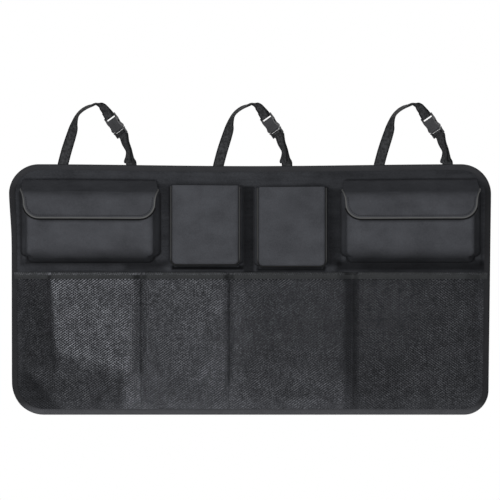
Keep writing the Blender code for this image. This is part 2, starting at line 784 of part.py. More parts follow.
def make_socket_mesh():
    """The upper half: a hollow body with side windows, and a bar for the long strap."""
    half = BUCKLE_THICKNESS / 2
    body = flat_solid("socket", [socket_outline()], half, -half, BUCKLE_PLASTIC)
    bevel(body, 0.0010)
    body = as_mesh(body)
    plate = flat_solid(
        "socket_rails",
        [frame_outline(-SOCKET_TOP - 0.0020, UPPER_BAR_RADIUS + 0.0004, 0.0012)],
        RAIL_THICKNESS / 2, -RAIL_THICKNESS / 2, BUCKLE_PLASTIC,
    )
    inner = BUCKLE_WIDTH / 2 - BUCKLE_RAIL
    boolean(body, plate, "UNION")
    boolean(body, block("socket_slot", inner, 0.01, -SOCKET_TOP, 0.01), "DIFFERENCE")
    boolean(body, bar("socket_bar", UPPER_BAR_RADIUS, 2 * inner + 0.002, BUCKLE_PLASTIC), "UNION")
    cavity = BUCKLE_CAVITY_THICKNESS / 2
    hollow = BUCKLE_WIDTH / 2 - SOCKET_WALL - 0.0014
    boolean(body, block("socket_hollow", hollow, cavity, -SOCKET_MOUTH - 0.01, -SOCKET_FLOOR), "DIFFERENCE")
    boolean(body, block("socket_windows", 0.03, cavity, -WINDOW_BOTTOM, -WINDOW_TOP), "DIFFERENCE")
    return finished_mesh(body)


def prong_outline():
    """The latch in one outline: a base, a middle guide and two sprung arms with heads in the windows."""
    clear = PRONG_CLEARANCE
    arm_in = BUCKLE_WIDTH / 2 - SOCKET_WALL - 0.0014 - clear - PRONG_ARM
    arm_out = arm_in + PRONG_ARM
    base = -SOCKET_MOUTH - 0.0005
    head_out = BUCKLE_WIDTH / 2 - 0.0010
    right = [
        (0.0016, -SOCKET_FLOOR - 0.0030),
        (0.0016, base + 0.0020),
        (arm_in - 0.0002, base + 0.0020),
        (arm_in - 0.0010, -WINDOW_TOP - 0.0040),
        (arm_in - 0.0004, -WINDOW_TOP - 0.0012),
        (arm_out - 0.0008, -WINDOW_TOP - 0.0008),
        (head_out - 0.0010, -WINDOW_TOP - 0.0040),
        (head_out, -WINDOW_BOTTOM + 0.0022),
        (head_out, -WINDOW_BOTTOM + clear),
        (arm_out, -WINDOW_BOTTOM + clear),
        (arm_out, base),
        (arm_out, base - 0.0015),
    ]
    return [*right, *((-x, z) for x, z in reversed(right))]


def ladder_bars():
    """Distances of the ladder's two bars below the upper bar."""
    first = SOCKET_MOUTH + GAP + SHOULDER_LENGTH + WEBBING_THICKNESS + 2 * GAP + LADDER_BAR_RADIUS + LADDER_SLACK
    return first, first + LADDER_BAR_PITCH


def make_latch_mesh():
    """The lower half: shoulders, two sprung arms and a guide, and a two-bar ladder for the short strap."""
    half = PRONG_THICKNESS / 2
    inner = BUCKLE_WIDTH / 2 - BUCKLE_RAIL
    top = -SOCKET_MOUTH - GAP
    first, second = ladder_bars()
    wide, deep = BUCKLE_WIDTH / 2 + 0.0004, BUCKLE_THICKNESS / 2 - 0.0006
    shoulders = box(
        "latch", (-wide, -deep, top - SHOULDER_LENGTH), (wide, deep, top), BUCKLE_PLASTIC,
    )
    bevel(shoulders, 0.0010)
    shoulders = as_mesh(shoulders)
    prongs = flat_solid("latch_prongs", [prong_outline()], half, -half, BUCKLE_PLASTIC)
    thick = LADDER_THICKNESS / 2
    rails = flat_solid(
        "latch_rails", [frame_outline(-second - LADDER_BAR_RADIUS - 0.0004, top - 0.001, 0.0012)],
        thick, -thick, BUCKLE_PLASTIC,
    )
    gap_top = top - SHOULDER_LENGTH
    boolean(shoulders, prongs, "UNION")
    boolean(shoulders, rails, "UNION")
    boolean(shoulders, block("latch_gap", inner, 0.01, -second - 0.01, gap_top), "DIFFERENCE")
    for name, place in (("latch_bar_1", first), ("latch_bar_2", second)):
        rod = bar(name, LADDER_BAR_RADIUS, 2 * inner + 0.002, BUCKLE_PLASTIC, (0, 0, -place))
        boolean(shoulders, rod, "UNION")
    return finished_mesh(shoulders)


def finished_mesh(obj):
    """The evaluated mesh of a piece built from Booleans. The piece and its cutters are then removed."""
    made = as_mesh(obj)
    mesh = made.data
    bpy.data.objects.remove(made)
    for cutter in [c for c in CUTTERS.objects if c.name.startswith(("socket_", "latch_"))]:
        bpy.data.objects.remove(cutter)
    return mesh


# Straps


def strap_side(along, turn_deg):
    """The direction of a strap's width: in the panel's plane at 0 degrees, square to it at 90."""
    flat = along.cross(Y_AXIS).normalized()
    turn = math.radians(turn_deg)
    return (flat * math.cos(turn) + Y_AXIS * math.sin(turn)).normalized()


def route_rows(route, loop_x, lead=None):
    """Points and width directions along a route of stations. A lead is the direction that it sets out in."""
    samples = catmull_rom(route, ROUTE_STEPS)
    places = [Vector((loop_x + x, y, PANEL_TOP + z)) for x, y, z, turn in samples]
    sides = []
    for k, sample in enumerate(samples):
        along = places[min(k + 1, len(places) - 1)] - places[max(k - 1, 0)]
        along.y = 0
        along.normalize()
        if lead:
            along = lead.lerp(along, smooth(k / LEAD_ROWS))
        sides.append(strap_side(along.normalized(), sample[3]))
    return list(zip(places, sides))


def buckle_rows(frame, pairs):
    """Rows from pairs of distance along the buckle and distance in front of it, with the buckle's own width."""
    across = frame.col[0].to_3d()
    return [(frame @ Vector((0, -front, -along)), across) for along, front in pairs]


def make_strap(name, rows):
    half = WEBBING_WIDTH / 2
    edges = [[place - side * half, place, place + side * half] for place, side in rows]
    sheet(name, edges, WEBBING_THICKNESS, WEBBING)


def make_long_strap(side, loop_x, frame):
    """From its tab behind the panel, over the loop and round the socket's bar, with its end folded back."""
    start = LONG_STRAP_ROUTE[0]
    lean = 0.25
    tab = (start[0] - STRAP_TAB * lean, TAB_Y, -STRAP_TAB, 0.0)
    rows = route_rows((tab, *LONG_STRAP_ROUTE), loop_x)
    wrap = UPPER_BAR_RADIUS + GAP + WEBBING_THICKNESS / 2
    layer = (WEBBING_THICKNESS + GAP) / 2
    down = [(-0.0085, layer + 0.0006), (-0.0035, wrap - 0.0001)]
    around = [(along, front) for front, along in arc((0, 0), wrap, 0, 180, 8)]
    back = [(along, -front) for along, front in reversed(down)] + [(STRAP_FOLD_END, -layer)]
    make_strap("strap_long_" + side, rows + buckle_rows(frame, down + around + back))


def make_short_strap(side, loop_x, frame):
    """From its tab up to the ladder, round the first bar, and back down behind itself as a loose tail."""
    first, second = ladder_bars()
    wrap = LADDER_BAR_RADIUS + GAP + WEBBING_THICKNESS / 2
    load = wrap + WEBBING_THICKNESS + GAP
    # The tail crosses between the two bars on the line that touches both wraps.
    cross = math.degrees(math.acos(2 * wrap / (second - first)))
    leave = [(second + wrap * math.sin(math.radians(a)), wrap * math.cos(math.radians(a)))
             for a in (0.0, -(90 - cross) / 2, -(90 - cross))]
    under = [(first + wrap * math.cos(a), -wrap * math.sin(a))
             for a in (math.radians(cross + (180 - cross) * k / 6) for k in range(7))]
    over = [(first + wrap * math.cos(a), load - wrap + wrap * math.sin(a))
            for a in (math.radians(180 - 90 * k / 4) for k in range(5))]
    past = second + 0.004
    ladder = [(past, wrap), *leave, *under, *over, (second, load), (past, load)]
    end = (SHORT_STRAP_ROUTE[-1][0] + 0.0018, TAB_Y, -STRAP_TAB, 180.0)
    base = frame @ Vector((0, -load, -past)) - Vector((loop_x, 0, PANEL_TOP))
    lead = -frame.col[2].to_3d()
    down = route_rows(((*base, BUCKLE_TURN_DEG), *SHORT_STRAP_ROUTE, end), loop_x, lead)
    tail = [(place, across) for place, across in down if place.z - PANEL_TOP > TAIL_END_Z]
    hang = []
    for k, (place, across) in enumerate(tail):
        share = smooth(k / (len(tail) - 1))
        along = tail[min(k + 1, len(tail) - 1)][0] - tail[max(k - 1, 0)][0]
        toward_ladder = across.cross(along).normalized()
        reach = WEBBING_THICKNESS + GAP + TAIL_STANDOFF * share
        hang.append((place + toward_ladder * reach + across * TAIL_SHIFT * share, across))
    rows = list(reversed(hang[1:])) + buckle_rows(frame, ladder) + down[1:]
    make_strap("strap_short_" + side, rows)


def make_loops():
    socket, latch = make_socket_mesh(), make_latch_mesh()
    for side, loop_x in LOOP_CENTRES.items():
        frame = buckle_frame(loop_x)
        for name, mesh in (("buckle_socket_", socket), ("buckle_latch_", latch)):
            add_object(name + side, mesh, BUCKLE_PLASTIC).matrix_world = frame
        make_long_strap(side, loop_x, frame)
        make_short_strap(side, loop_x, frame)


make_panel()
make_binding()
make_hook_strips()
make_net()
make_net_tape()
make_flap_pocket("left", -FLAP_POCKET_X)
make_flap_pocket("right", FLAP_POCKET_X)
for pocket_side, pocket in BOX_POCKETS.items():
    make_box_pocket(pocket_side, pocket["x"], PANEL_TOP - pocket["below_top"])
make_loops()
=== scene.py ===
"""Looks of a hanging trunk organizer, laid out as a Blender add-on and run as a script.

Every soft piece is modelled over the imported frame, in metres: X to the right, Y back into the seat and Z up.
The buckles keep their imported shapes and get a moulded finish. The operators are called in order by main().
"""

import math

import bmesh
import bpy
from bpy.props import FloatProperty, FloatVectorProperty, PointerProperty
from mathutils import Matrix, Vector, noise


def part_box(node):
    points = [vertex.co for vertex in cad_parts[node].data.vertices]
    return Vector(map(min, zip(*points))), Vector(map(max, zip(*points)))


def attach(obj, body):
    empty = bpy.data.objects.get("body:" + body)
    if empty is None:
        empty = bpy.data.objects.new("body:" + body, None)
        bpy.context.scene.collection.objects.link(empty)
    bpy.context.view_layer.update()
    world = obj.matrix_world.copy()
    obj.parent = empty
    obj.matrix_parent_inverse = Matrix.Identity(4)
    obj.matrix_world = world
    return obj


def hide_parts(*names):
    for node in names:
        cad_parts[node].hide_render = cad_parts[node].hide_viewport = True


bl_info = {
    "name": "Hanging Trunk Organizer",
    "version": (1, 0, 0),
    "blender": (4, 5, 0),
    "location": "View3D > Sidebar > Organizer",
    "description": "Models the cloth, nets, webbing and finishes of a hanging trunk organizer",
    "category": "Object",
}

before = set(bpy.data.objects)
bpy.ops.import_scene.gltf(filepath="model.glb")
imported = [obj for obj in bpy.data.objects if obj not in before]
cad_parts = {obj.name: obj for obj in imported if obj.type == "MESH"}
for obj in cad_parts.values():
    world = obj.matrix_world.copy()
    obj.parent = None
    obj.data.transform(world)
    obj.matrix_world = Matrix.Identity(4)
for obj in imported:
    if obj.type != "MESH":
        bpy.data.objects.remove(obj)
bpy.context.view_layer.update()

# The same clearance as in the frame
GAP = 0.0003

# Panel, as in the frame
PANEL_LOW, PANEL_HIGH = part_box("back_panel")
PANEL_TOP = PANEL_HIGH.z
PANEL_BOTTOM = PANEL_LOW.z
PANEL_HEIGHT = PANEL_TOP - PANEL_BOTTOM
PANEL_BACK = PANEL_HIGH.y
PANEL_FRONT = PANEL_LOW.y
PANEL_THICKNESS = PANEL_BACK - PANEL_FRONT
PANEL_TOP_HALF = 0.450
PANEL_BOTTOM_HALF = 0.444
TOP_CORNER = 0.055
BOTTOM_LEFT_CORNER = 0.060
BOTTOM_RIGHT_CORNER = 0.045

# Binding and net, as in the frame
BINDING_LEG = 0.010
BINDING_THICKNESS = 0.0007
BINDING_BACK_Y = PANEL_BACK + GAP + BINDING_THICKNESS / 2
NET_THICKNESS = 0.0008
BINDING_FRONT_Y = PANEL_FRONT - 2 * GAP - NET_THICKNESS - BINDING_THICKNESS / 2
NET_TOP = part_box("net_sheet")[1].z
NET_SEAMS = (-0.2035, -0.039, 0.193)
TAPE_THICKNESS = 0.0005

# Cloth of the pockets, as in the frame
POUCH_THICKNESS = 0.0014
FLAP_THICKNESS = 0.0016
PIPING_RADIUS = 0.0015
PATCH_THICKNESS = 0.0010

# Webbing, as in the frame
WEBBING_WIDTH = 0.020
WEBBING_THICKNESS = 0.0012
STRAP_TAB = 0.028
LOOP_CENTRES = {"left": -0.285, "middle": 0.006, "right": 0.306}

FRONT = Vector((0, -1, 0))
BACK = Vector((0, 1, 0))
UP = Vector((0, 0, 1))


# Sizes and colours that a user would change


def colour_property(name, description, default):
    return FloatVectorProperty(
        name=name, description=description, default=default, subtype="COLOR", min=0.0, max=1.0,
    )


def length_property(name, description, default, low, high):
    return FloatProperty(
        name=name, description=description, default=default, min=low, max=high,
        subtype="DISTANCE", unit="LENGTH",
    )


class OrganizerColours(bpy.types.PropertyGroup):
    panel: colour_property("Panel Cloth", "Colour of the stiffened panel cloth", (0.0240, 0.0250, 0.0280))
    pocket: colour_property("Pocket Cloth", "Colour of the pouches and flaps", (0.0400, 0.0415, 0.0465))
    binding: colour_property("Binding Tape", "Colour of the tape round the panel", (0.0270, 0.0275, 0.0300))
    net: colour_property("Net Thread", "Colour of the nylon net threads", (0.140, 0.144, 0.157))
    net_tape: colour_property("Net Tape", "Colour of the tape over the net's mouth", (0.022, 0.023, 0.024))
    piping: colour_property("Piping", "Colour of the grey piping", (0.074, 0.075, 0.075))
    webbing: colour_property("Webbing", "Colour of the strap webbing", (0.026, 0.0265, 0.028))
    buckle: colour_property("Buckle", "Colour of the moulded buckles", (0.021, 0.0215, 0.024))
    thread: colour_property("Sewing Thread", "Colour of the stitches", (0.016, 0.0165, 0.018))
    hook_tape: colour_property("Hook Tape", "Colour of the hook strips and patches", (0.014, 0.014, 0.015))


class OrganizerSizes(bpy.types.PropertyGroup):
    cloth_weave: length_property("Cloth Weave", "Pitch of the cloth's threads", 0.0009, 0.0002, 0.004)
    net_width: length_property("Net Diamond Width", "Width of a net diamond", 0.00664, 0.002, 0.02)
    net_height: length_property("Net Diamond Height", "Height of a net diamond", 0.00465, 0.002, 0.02)
    net_thread: length_property("Net Thread Radius", "Half a net thread's thickness", 0.00056, 0.0001, 0.002)
    stitch: length_property("Stitch", "Length of one stitch", 0.0030, 0.001, 0.01)
    stitch_gap: length_property("Stitch Gap", "Gap between two stitches", 0.0012, 0.0002, 0.01)
    ripple: length_property("Ripple", "How far the panel's soft ripples stand out", 0.0014, 0.0, 0.004)
    dip: length_property("Dip", "How far the top edge hangs down between the straps", 0.0035, 0.0, 0.01)


def colours():
    return bpy.context.scene.organizer_colours


def sizes():
    return bpy.context.scene.organizer_sizes


# Shader maths


class Socket:
    """A shader socket on which an expression adds its Math nodes."""

    def __init__(self, tree, link):
        self.tree = tree
        self.link = link

    def node(self, kind, output=0, settings=None, **sockets):
        """A new node of a type, with its settings and the values or links of its sockets.

        A socket is given by its name, or by an underscore and its number.
        """
        made = self.tree.nodes.new(kind)
        for name, value in (settings or {}).items():
            setattr(made, name, value)
        for name, value in sockets.items():
            key = int(name[1:]) if name[1:].isdigit() else name.replace("_", " ")
            target = made.inputs[key]
            if isinstance(value, Socket):
                self.tree.links.new(value.link, target)
            else:
                target.default_value = value
        return Socket(self.tree, made.outputs[output])

    def ramp(self, *stops):
        """The value through a ramp of (position, brightness) stops."""
        made = self.tree.nodes.new("ShaderNodeValToRGB")
        elements = made.color_ramp.elements
        while len(elements) < len(stops):
            elements.new(0.5)
        for element, (position, grey) in zip(elements, stops):
            element.position = position
            element.color = (grey, grey, grey, 1)
        self.tree.links.new(self.link, made.inputs[0])
        return Socket(self.tree, made.outputs[0])

    def maths(self, operation, other=0.0, swap=False):
        pair = (other, self) if swap else (self, other)
        return self.node("ShaderNodeMath", settings={"operation": operation}, _0=pair[0], _1=pair[1])

    def __add__(self, other):
        return self.maths("ADD", other)

    __radd__ = __add__

    def __mul__(self, other):
        return self.maths("MULTIPLY", other)

    __rmul__ = __mul__

    def __sub__(self, other):
        return self.maths("SUBTRACT", other)

    def __rsub__(self, other):
        return self.maths("SUBTRACT", other, swap=True)

    def __truediv__(self, other):
        return self.maths("DIVIDE", other)

    def sine(self):
        return self.maths("SINE")

    def fraction(self):
        return self.maths("FRACT")

    def absolute(self):
        return self.maths("ABSOLUTE")

    def floor(self):
        return self.maths("FLOOR")

    def even(self):
        """One where the whole part is odd, nought where it is even."""
        return (self.floor() * 0.5).fraction() * 2.0

    def tint(self, dark, light):
        """A colour between two, by this value."""
        return self.node(
            "ShaderNodeMix", output=2, settings={"data_type": "RGBA"}, Factor=self,
            _6=(*dark, 1.0), _7=(*light, 1.0),
        )


BLACK = (0.0, 0.0, 0.0)


class Finish:
    """A material with one Principled shader, its pattern coordinates and its bump."""

    def __init__(self, name, **constants):
        self.material = bpy.data.materials.new(name)
        self.material.use_nodes = True
        self.tree = self.material.node_tree
        self.shader = self.tree.nodes["Principled BSDF"]
        for key, value in constants.items():
            self.shader.inputs[key.replace("_", " ")].default_value = value
        self.start = Socket(self.tree, None)

    def place(self):
        """Object coordinates."""
        return self.start.node("ShaderNodeTexCoord", output=3)

    def height(self):
        """Z of object space."""
        return self.start.node("ShaderNodeSeparateXYZ", output=2, Vector=self.place())

    def cloth(self):
        """Metres across and along the cloth."""
        place = self.start.node("ShaderNodeUVMap", settings={"uv_map": "cloth"})
        across = self.start.node("ShaderNodeSeparateXYZ", Vector=place)
        return across, Socket(self.tree, across.link.node.outputs[1])

    def noise(self, scale, detail=2.0, stretch=None):
        """Soft noise in object space, stretched along an axis where asked."""
        where = self.place()
        if stretch:
            where = self.start.node(
                "ShaderNodeVectorMath", settings={"operation": "MULTIPLY"}, _0=where, _1=stretch,
            )
        return self.start.node("ShaderNodeTexNoise", Vector=where, Scale=scale, Detail=detail, Roughness=0.55)

    def painted(self, name):
        """A value that the mesh carries at each of its points."""
        return self.start.node("ShaderNodeAttribute", output=2, settings={"attribute_name": name})

    def set(self, socket, value):
        self.tree.links.new(value.link, self.shader.inputs[socket])

    def set_brightness(self, tone, colour, most):
        """Base colour: the colour times a tone, which may go up to a highest value."""
        self.set("Base Color", (tone * (1 / most)).tint(BLACK, shade(colour, most)))

    def bump(self, height, distance, strength=1.0):
        made = self.tree.nodes.new("ShaderNodeBump")
        made.inputs["Strength"].default_value = strength
        made.inputs["Distance"].default_value = distance
        self.tree.links.new(height.link, made.inputs["Height"])
        self.tree.links.new(made.outputs[0], self.shader.inputs["Normal"])


def shade(colour, factor):
    return tuple(channel * factor for channel in colour)


def plain_weave(finish, pitch):
    """Height of a plain weave: warp and weft threads that pass over each other by turns."""
    across, along = finish.cloth()
    across, along = across / pitch, along / pitch
    turn = (across.floor() + along.floor()).even()
    warp = (across.fraction() * math.pi).sine()
    weft = (along.fraction() * math.pi).sine()
    return warp * turn + weft * (1.0 - turn)


def cloth_finish(name, colour, pitch, roughness, mottle, streaks, shaded=False):
    """Coated polyester cloth: plain weave, soft mottling, drawn creases and fine lint."""
    finish = Finish(name, Specular_IOR_Level=0.01)
    weave = plain_weave(finish, pitch)
    cloudy = finish.noise(17.0, 3.0)
    drawn = finish.noise(1.0, 3.0, stretch=streaks)
    grain = finish.noise(420.0, 2.0)
    blend = cloudy * 0.30 + drawn * 0.30 + grain * 0.25 + weave * 0.15
    tone = blend.ramp((0.32, 0.0), (0.64, 1.0)) * (2 * mottle) + (1 - mottle)
    # Painted light and shade on the mesh's points darken the cloth where shade falls
    if shaded:
        tone = tone * finish.painted("painted_light")
    finish.set_brightness(tone, colour, 2.0)
    finish.set("Roughness", grain * 0.16 + (roughness - 0.08))
    finish.bump(weave * 0.10 + grain * 0.10 + drawn * 1.6, 0.0010)
    return finish.material


def ribbed_finish(name, colour, pitch, roughness, edge=None, heights=None):
    """Woven tape or webbing: ribs across it in two slanting halves, with a firmer line at each selvedge."""
    finish = Finish(name, Specular_IOR_Level=0.02)
    across, along = finish.cloth()
    slant = across.absolute() * 0.55
    rib = (((along + slant) / pitch) * math.pi).sine().absolute()
    cross = ((across / (pitch * 0.9)) * math.pi).sine().absolute()
    woven = rib * 0.7 + cross * 0.3
    lint = finish.noise(650.0, 2.0)
    cloudy = finish.noise(40.0, 2.0)
    blend = woven * 0.45 + lint * 0.30 + cloudy * 0.25
    if edge:
        worn = finish.noise(230.0, 2.0).ramp((0.36, 0.0), (0.64, 1.0))
        border = (across.absolute() / edge).ramp((0.0, 0.0), (0.64, 0.0), (0.88, 1.0), (1.0, 1.0))
        blend = (blend * 0.45 + worn * 0.45) * (1.0 - border * 0.80)
    tone = blend.ramp((0.15, 0.0), (0.80, 1.0))
    if heights:
        # Painted light: a tape that is brighter at the heights where it catches the light
        share = (finish.height() - PANEL_BOTTOM) / PANEL_HEIGHT
        tone = (tone * 0.36 + 0.32) * share.ramp(*heights)
        finish.set("Base Color", tone.tint(BLACK, shade(colour, 3.9)))
    else:
        finish.set("Base Color", tone.tint(shade(colour, 0.40), shade(colour, 1.65)))
    finish.set("Roughness", lint * 0.2 + (roughness - 0.1))
    finish.bump(woven + lint * 0.4, 0.00018)
    return finish.material


def thread_finish(name, colour, pitch, roughness=0.5, shaded=False):
    """Twisted thread or covered cord: fine slanting plies along it."""
    finish = Finish(name, Specular_IOR_Level=0.04)
    across, along = finish.cloth()
    ply = (((along + across * 0.8) / pitch) * math.pi).sine().absolute()
    lint = finish.noise(800.0, 2.0)
    cloudy = finish.noise(60.0, 2.0)
    blend = ply * 0.4 + lint * 0.35 + cloudy * 0.25
    tone = blend.ramp((0.15, 0.0), (0.80, 1.0)) * 0.58 + 0.70
    # Painted light and shade on the mesh's points darken the thread where shade falls
    if shaded:
        tone = tone * finish.painted("painted_light")
    finish.set_brightness(tone, colour, 2.0)
    finish.set("Roughness", lint * 0.2 + (roughness - 0.1))
    finish.bump(ply + lint * 0.3, 0.00012)
    return finish.material


def nylon_finish(name, colour):
    """Nylon net thread, with the painted light and shade that the mesh carries at each point and fine painted
    glints.
    """
    finish = Finish(name, Specular_IOR_Level=0.04)
    lint = finish.noise(500.0, 2.0)
    cloudy = finish.noise(24.0, 3.0)
    painted_glint = finish.noise(300.0, 1.0).ramp((0.36, 0.0), (0.66, 1.0))
    drawn = finish.noise(80.0, 2.0, stretch=(1.0, 1.0, 0.5)).ramp((0.34, 0.0), (0.66, 1.0))
    bright = finish.painted("painted_light") * (0.72 + cloudy * 0.56) * (0.50 + painted_glint) * (0.75 + drawn * 0.5)
    finish.set_brightness(bright, colour, 4.0)
    finish.set("Roughness", lint * 0.2 + 0.45)
    finish.bump(lint, 0.00008)
    return finish.material


def moulded_finish(name, colour):
    """Moulded acetal: spark-eroded grain, faint flow marks and worn edges."""
    finish = Finish(name, Specular_IOR_Level=0.3)
    grain = finish.noise(1400.0, 2.0)
    flow = finish.noise(70.0, 3.0)
    edge = finish.start.node("ShaderNodeNewGeometry", output=7)
    worn = edge.ramp((0.50, 0.0), (0.58, 1.0)) * 0.20
    blend = flow * 0.5 + grain * 0.2 + worn
    tone = blend.ramp((0.20, 0.0), (0.95, 1.0))
    finish.set("Base Color", tone.tint(shade(colour, 0.35), shade(colour, 1.6)))
    finish.set("Roughness", grain * 0.14 + flow * 0.10 + 0.24)
    finish.bump(grain, 0.00004)
    return finish.material


def pile_finish(name, colour, scale):
    """Hook or loop tape: a dense upright pile over a woven ground."""
    finish = Finish(name, Specular_IOR_Level=0.1, Sheen_Weight=0.1)
    cells = finish.start.node("ShaderNodeTexVoronoi", Vector=finish.place(), Scale=scale)
    lint = finish.noise(900.0, 2.0)
    blend = cells * 0.8 + lint * 0.35
    tone = blend.ramp((0.10, 0.0), (0.80, 1.0))
    finish.set("Base Color", tone.tint(shade(colour, 1.7), shade(colour, 0.5)))
    finish.set("Roughness", lint * 0.15 + 0.78)
    finish.bump(lint - cells, 0.00045)
    return finish.material


# Roughness, strength of the mottling, and how often drawn creases repeat in a metre along X, Y and Z
PANEL_LOOK = {"roughness": 0.85, "mottle": 0.56, "streaks": (7.0, 7.0, 85.0)}
POCKET_LOOK = {"roughness": 0.80, "mottle": 0.33, "streaks": (24.0, 24.0, 34.0)}
PANEL_PITCH_SHARE = 1.15

# Pitch of the ribs and plies, brightness of the darker trims, and pile ends in a metre
TAPE_RIB = 0.0016
WEBBING_RIB = 0.0015
PIPING_PLY = 0.0014
THREAD_PLY = 0.0007
BOX_PIPING_DIM = 0.45
# The cord under each flap's piping is a painted shadow, darker than the sewing thread
SHADOW_CORD_DIM = 0.35
HOOKS_A_METRE = 900.0
LOOPS_A_METRE = 620.0

# Painted light on the binding at shares of the panel's height: brighter at the bottom and the top, where it
# catches the light
BINDING_PAINTED_LIGHT = ((0.0, 0.90), (0.012, 0.90), (0.05, 0.30), (0.90, 0.32), (0.975, 0.50), (1.0, 0.50))

MATERIALS = {}


def material(name):
    """Each finish is made once, when a piece first asks for it."""
    if name not in MATERIALS:
        pitch, tone = sizes().cloth_weave, colours()
        make = {
            # The panel, the pouches and the box piping are multiplied by the painted light and shade on their
            # points
            "panel": lambda: cloth_finish(
                "panel_oxford", tone.panel, pitch * PANEL_PITCH_SHARE, **PANEL_LOOK, shaded=True,
            ),
            "pocket": lambda: cloth_finish("pocket_oxford", tone.pocket, pitch, **POCKET_LOOK),
            "gusset": lambda: cloth_finish("pouch_oxford_painted_shade", tone.pocket, pitch, **POCKET_LOOK, shaded=True),
            "binding": lambda: ribbed_finish(
                "binding_tape", tone.binding, TAPE_RIB, 0.66, heights=BINDING_PAINTED_LIGHT,
            ),
            "net": lambda: nylon_finish("net_nylon", tone.net),
            "net_tape": lambda: ribbed_finish("net_tape", tone.net_tape, TAPE_RIB, 0.64),
            "piping": lambda: thread_finish("grey_piping", tone.piping, PIPING_PLY, 0.52),
            "box_piping": lambda: thread_finish(
                "box_piping", shade(tone.piping, BOX_PIPING_DIM), PIPING_PLY, 0.56, shaded=True,
            ),
            "webbing": lambda: ribbed_finish(
                "strap_webbing", tone.webbing, WEBBING_RIB, 0.55, edge=WEBBING_WIDTH / 2,
            ),
            "buckle": lambda: moulded_finish("buckle_acetal", tone.buckle),
            "thread": lambda: thread_finish("sewing_thread", tone.thread, THREAD_PLY),
            "shadow_cord": lambda: thread_finish("black_shadow_cord", shade(tone.thread, SHADOW_CORD_DIM), THREAD_PLY),
            "hooks": lambda: pile_finish("hook_pile", tone.hook_tape, HOOKS_A_METRE),
            "loops": lambda: pile_finish("loop_pile", tone.hook_tape, LOOPS_A_METRE),
        }[name]
        MATERIALS[name] = make()
    return MATERIALS[name]


# Meshes and pieces


def deselect():
    bpy.ops.object.select_all(action="DESELECT")


def make_active(piece):
    deselect()
    piece.select_set(True)
    bpy.context.view_layer.objects.active = piece


def apply_modifiers(piece):
    make_active(piece)
    for modifier in list(piece.modifiers):
        bpy.ops.object.modifier_apply(modifier=modifier.name)


def link_piece(name, mesh):
    piece = bpy.data.objects.new(name, mesh)
    bpy.context.scene.collection.objects.link(piece)
    return piece


def smooth_edges(piece, degrees=48):
    make_active(piece)
    bpy.ops.object.shade_smooth_by_angle(angle=math.radians(degrees))


def hand_in(piece, look, nodes=(), settled=True):
    """Gives a piece its finish and its place on the body, and hides the solids that it stands for."""
    if settled:
        settle(piece)
    piece.data.materials.clear()
    piece.data.materials.append(material(look))
    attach(piece, "root")
    if nodes:
        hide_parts(*nodes)
    return piece


def smooth(share):
    share = min(1.0, max(0.0, share))
    return share * share * (3 - 2 * share)


def mix(low, high, share):
    return low + (high - low) * share


# The panel's swells: repeats in a metre across and up, their layer of the noise, and their share
SWELLS = ((7.0, 6.0, 3.1, 0.34), (19.0, 17.0, 8.7, 0.14))


def ripple(x, z):
    """How far the panel and all that is sewn on it stand toward the front at a place."""
    level = 0.5
    for across, up, layer, share in SWELLS:
        level += share * noise.noise((x * across, z * up, layer))
    return sizes().ripple * level


# The top edge dips between the outer straps, from this height up
DIP_HALF_WIDTH = 0.40
DIP_LOW = 0.05

# The left margin is pulled in, from this distance left of the middle on
MARGIN_PULL = 0.0037
MARGIN_START = 0.424


def dip(x, z):
    """How far the panel's top hangs down between the straps."""
    between = 1 - smooth(abs(x) / DIP_HALF_WIDTH)
    return sizes().dip * between * smooth((z - DIP_LOW) / (PANEL_TOP - DIP_LOW))


def drawn_in(x, z):
    """How far the panel's left margin is pulled in, most beside the pouch's foot."""
    upper = smooth((0.19 - z) / 0.10)
    lower = mix(1.0, 0.3, min(1.0, max(0.0, (0.07 - z) / 0.23)))
    return MARGIN_PULL * upper * lower * smooth((-x - MARGIN_START) / 0.022)


def settle(piece):
    """Moves a sewn piece with the panel's ripples, dip and drawn margin."""
    for vert in piece.data.vertices:
        x, y, z = vert.co
        vert.co = (x + drawn_in(x, z), y - ripple(x, z), z - dip(x, z))


def running_lengths(points):
    found = [0.0]
    for start, end in zip(points, points[1:]):
        found.append(found[-1] + (Vector(end) - Vector(start)).length)
    return found


def line_length(points):
    return running_lengths(points)[-1]


def cloth_mesh(name, rows, closed=False):
    """A mesh through rows of points, with a map in metres across and along the cloth."""
    count = len(rows[0])
    middle = count // 2
    across = []
    for row in rows:
        lengths = running_lengths(row)
        across.append([length - lengths[middle] for length in lengths])
    along = [running_lengths([row[k] for row in rows]) for k in range(count)]
    mesh = bpy.data.meshes.new(name)
    faces = []
    for j in range(len(rows) - 1):
        for i in range(count - 1):
            corner = j * count + i
            faces.append((corner, corner + 1, corner + count + 1, corner + count))
    mesh.from_pydata([tuple(place) for row in rows for place in row], [], faces)
    layer = mesh.uv_layers.new(name="cloth")
    for loop in mesh.loops:
        j, i = divmod(loop.vertex_index, count)
        layer.data[loop.index].uv = (across[j][i], along[i][j])
    if closed:
        shape = bmesh.new()
        shape.from_mesh(mesh)
        bmesh.ops.remove_doubles(shape, verts=shape.verts, dist=1e-6)
        shape.to_mesh(mesh)
        shape.free()
    return mesh


def cloth_piece(name, rows, thickness, closed=False, rounded=0.0):
    """A sheet of cloth through rows of points, with its real thickness."""
    piece = link_piece(name, cloth_mesh(name, rows, closed))
    wall = piece.modifiers.new("thickness", "SOLIDIFY")
    wall.thickness = thickness
    wall.offset = 0.0
    wall.use_even_offset = True
    wall.use_quality_normals = True
    if rounded:
        edge = piece.modifiers.new("soft edge", "BEVEL")
        edge.width = rounded
        edge.segments = 2
        edge.limit_method = "ANGLE"
        edge.angle_limit = math.radians(60)
    apply_modifiers(piece)
    smooth_edges(piece)
    return piece


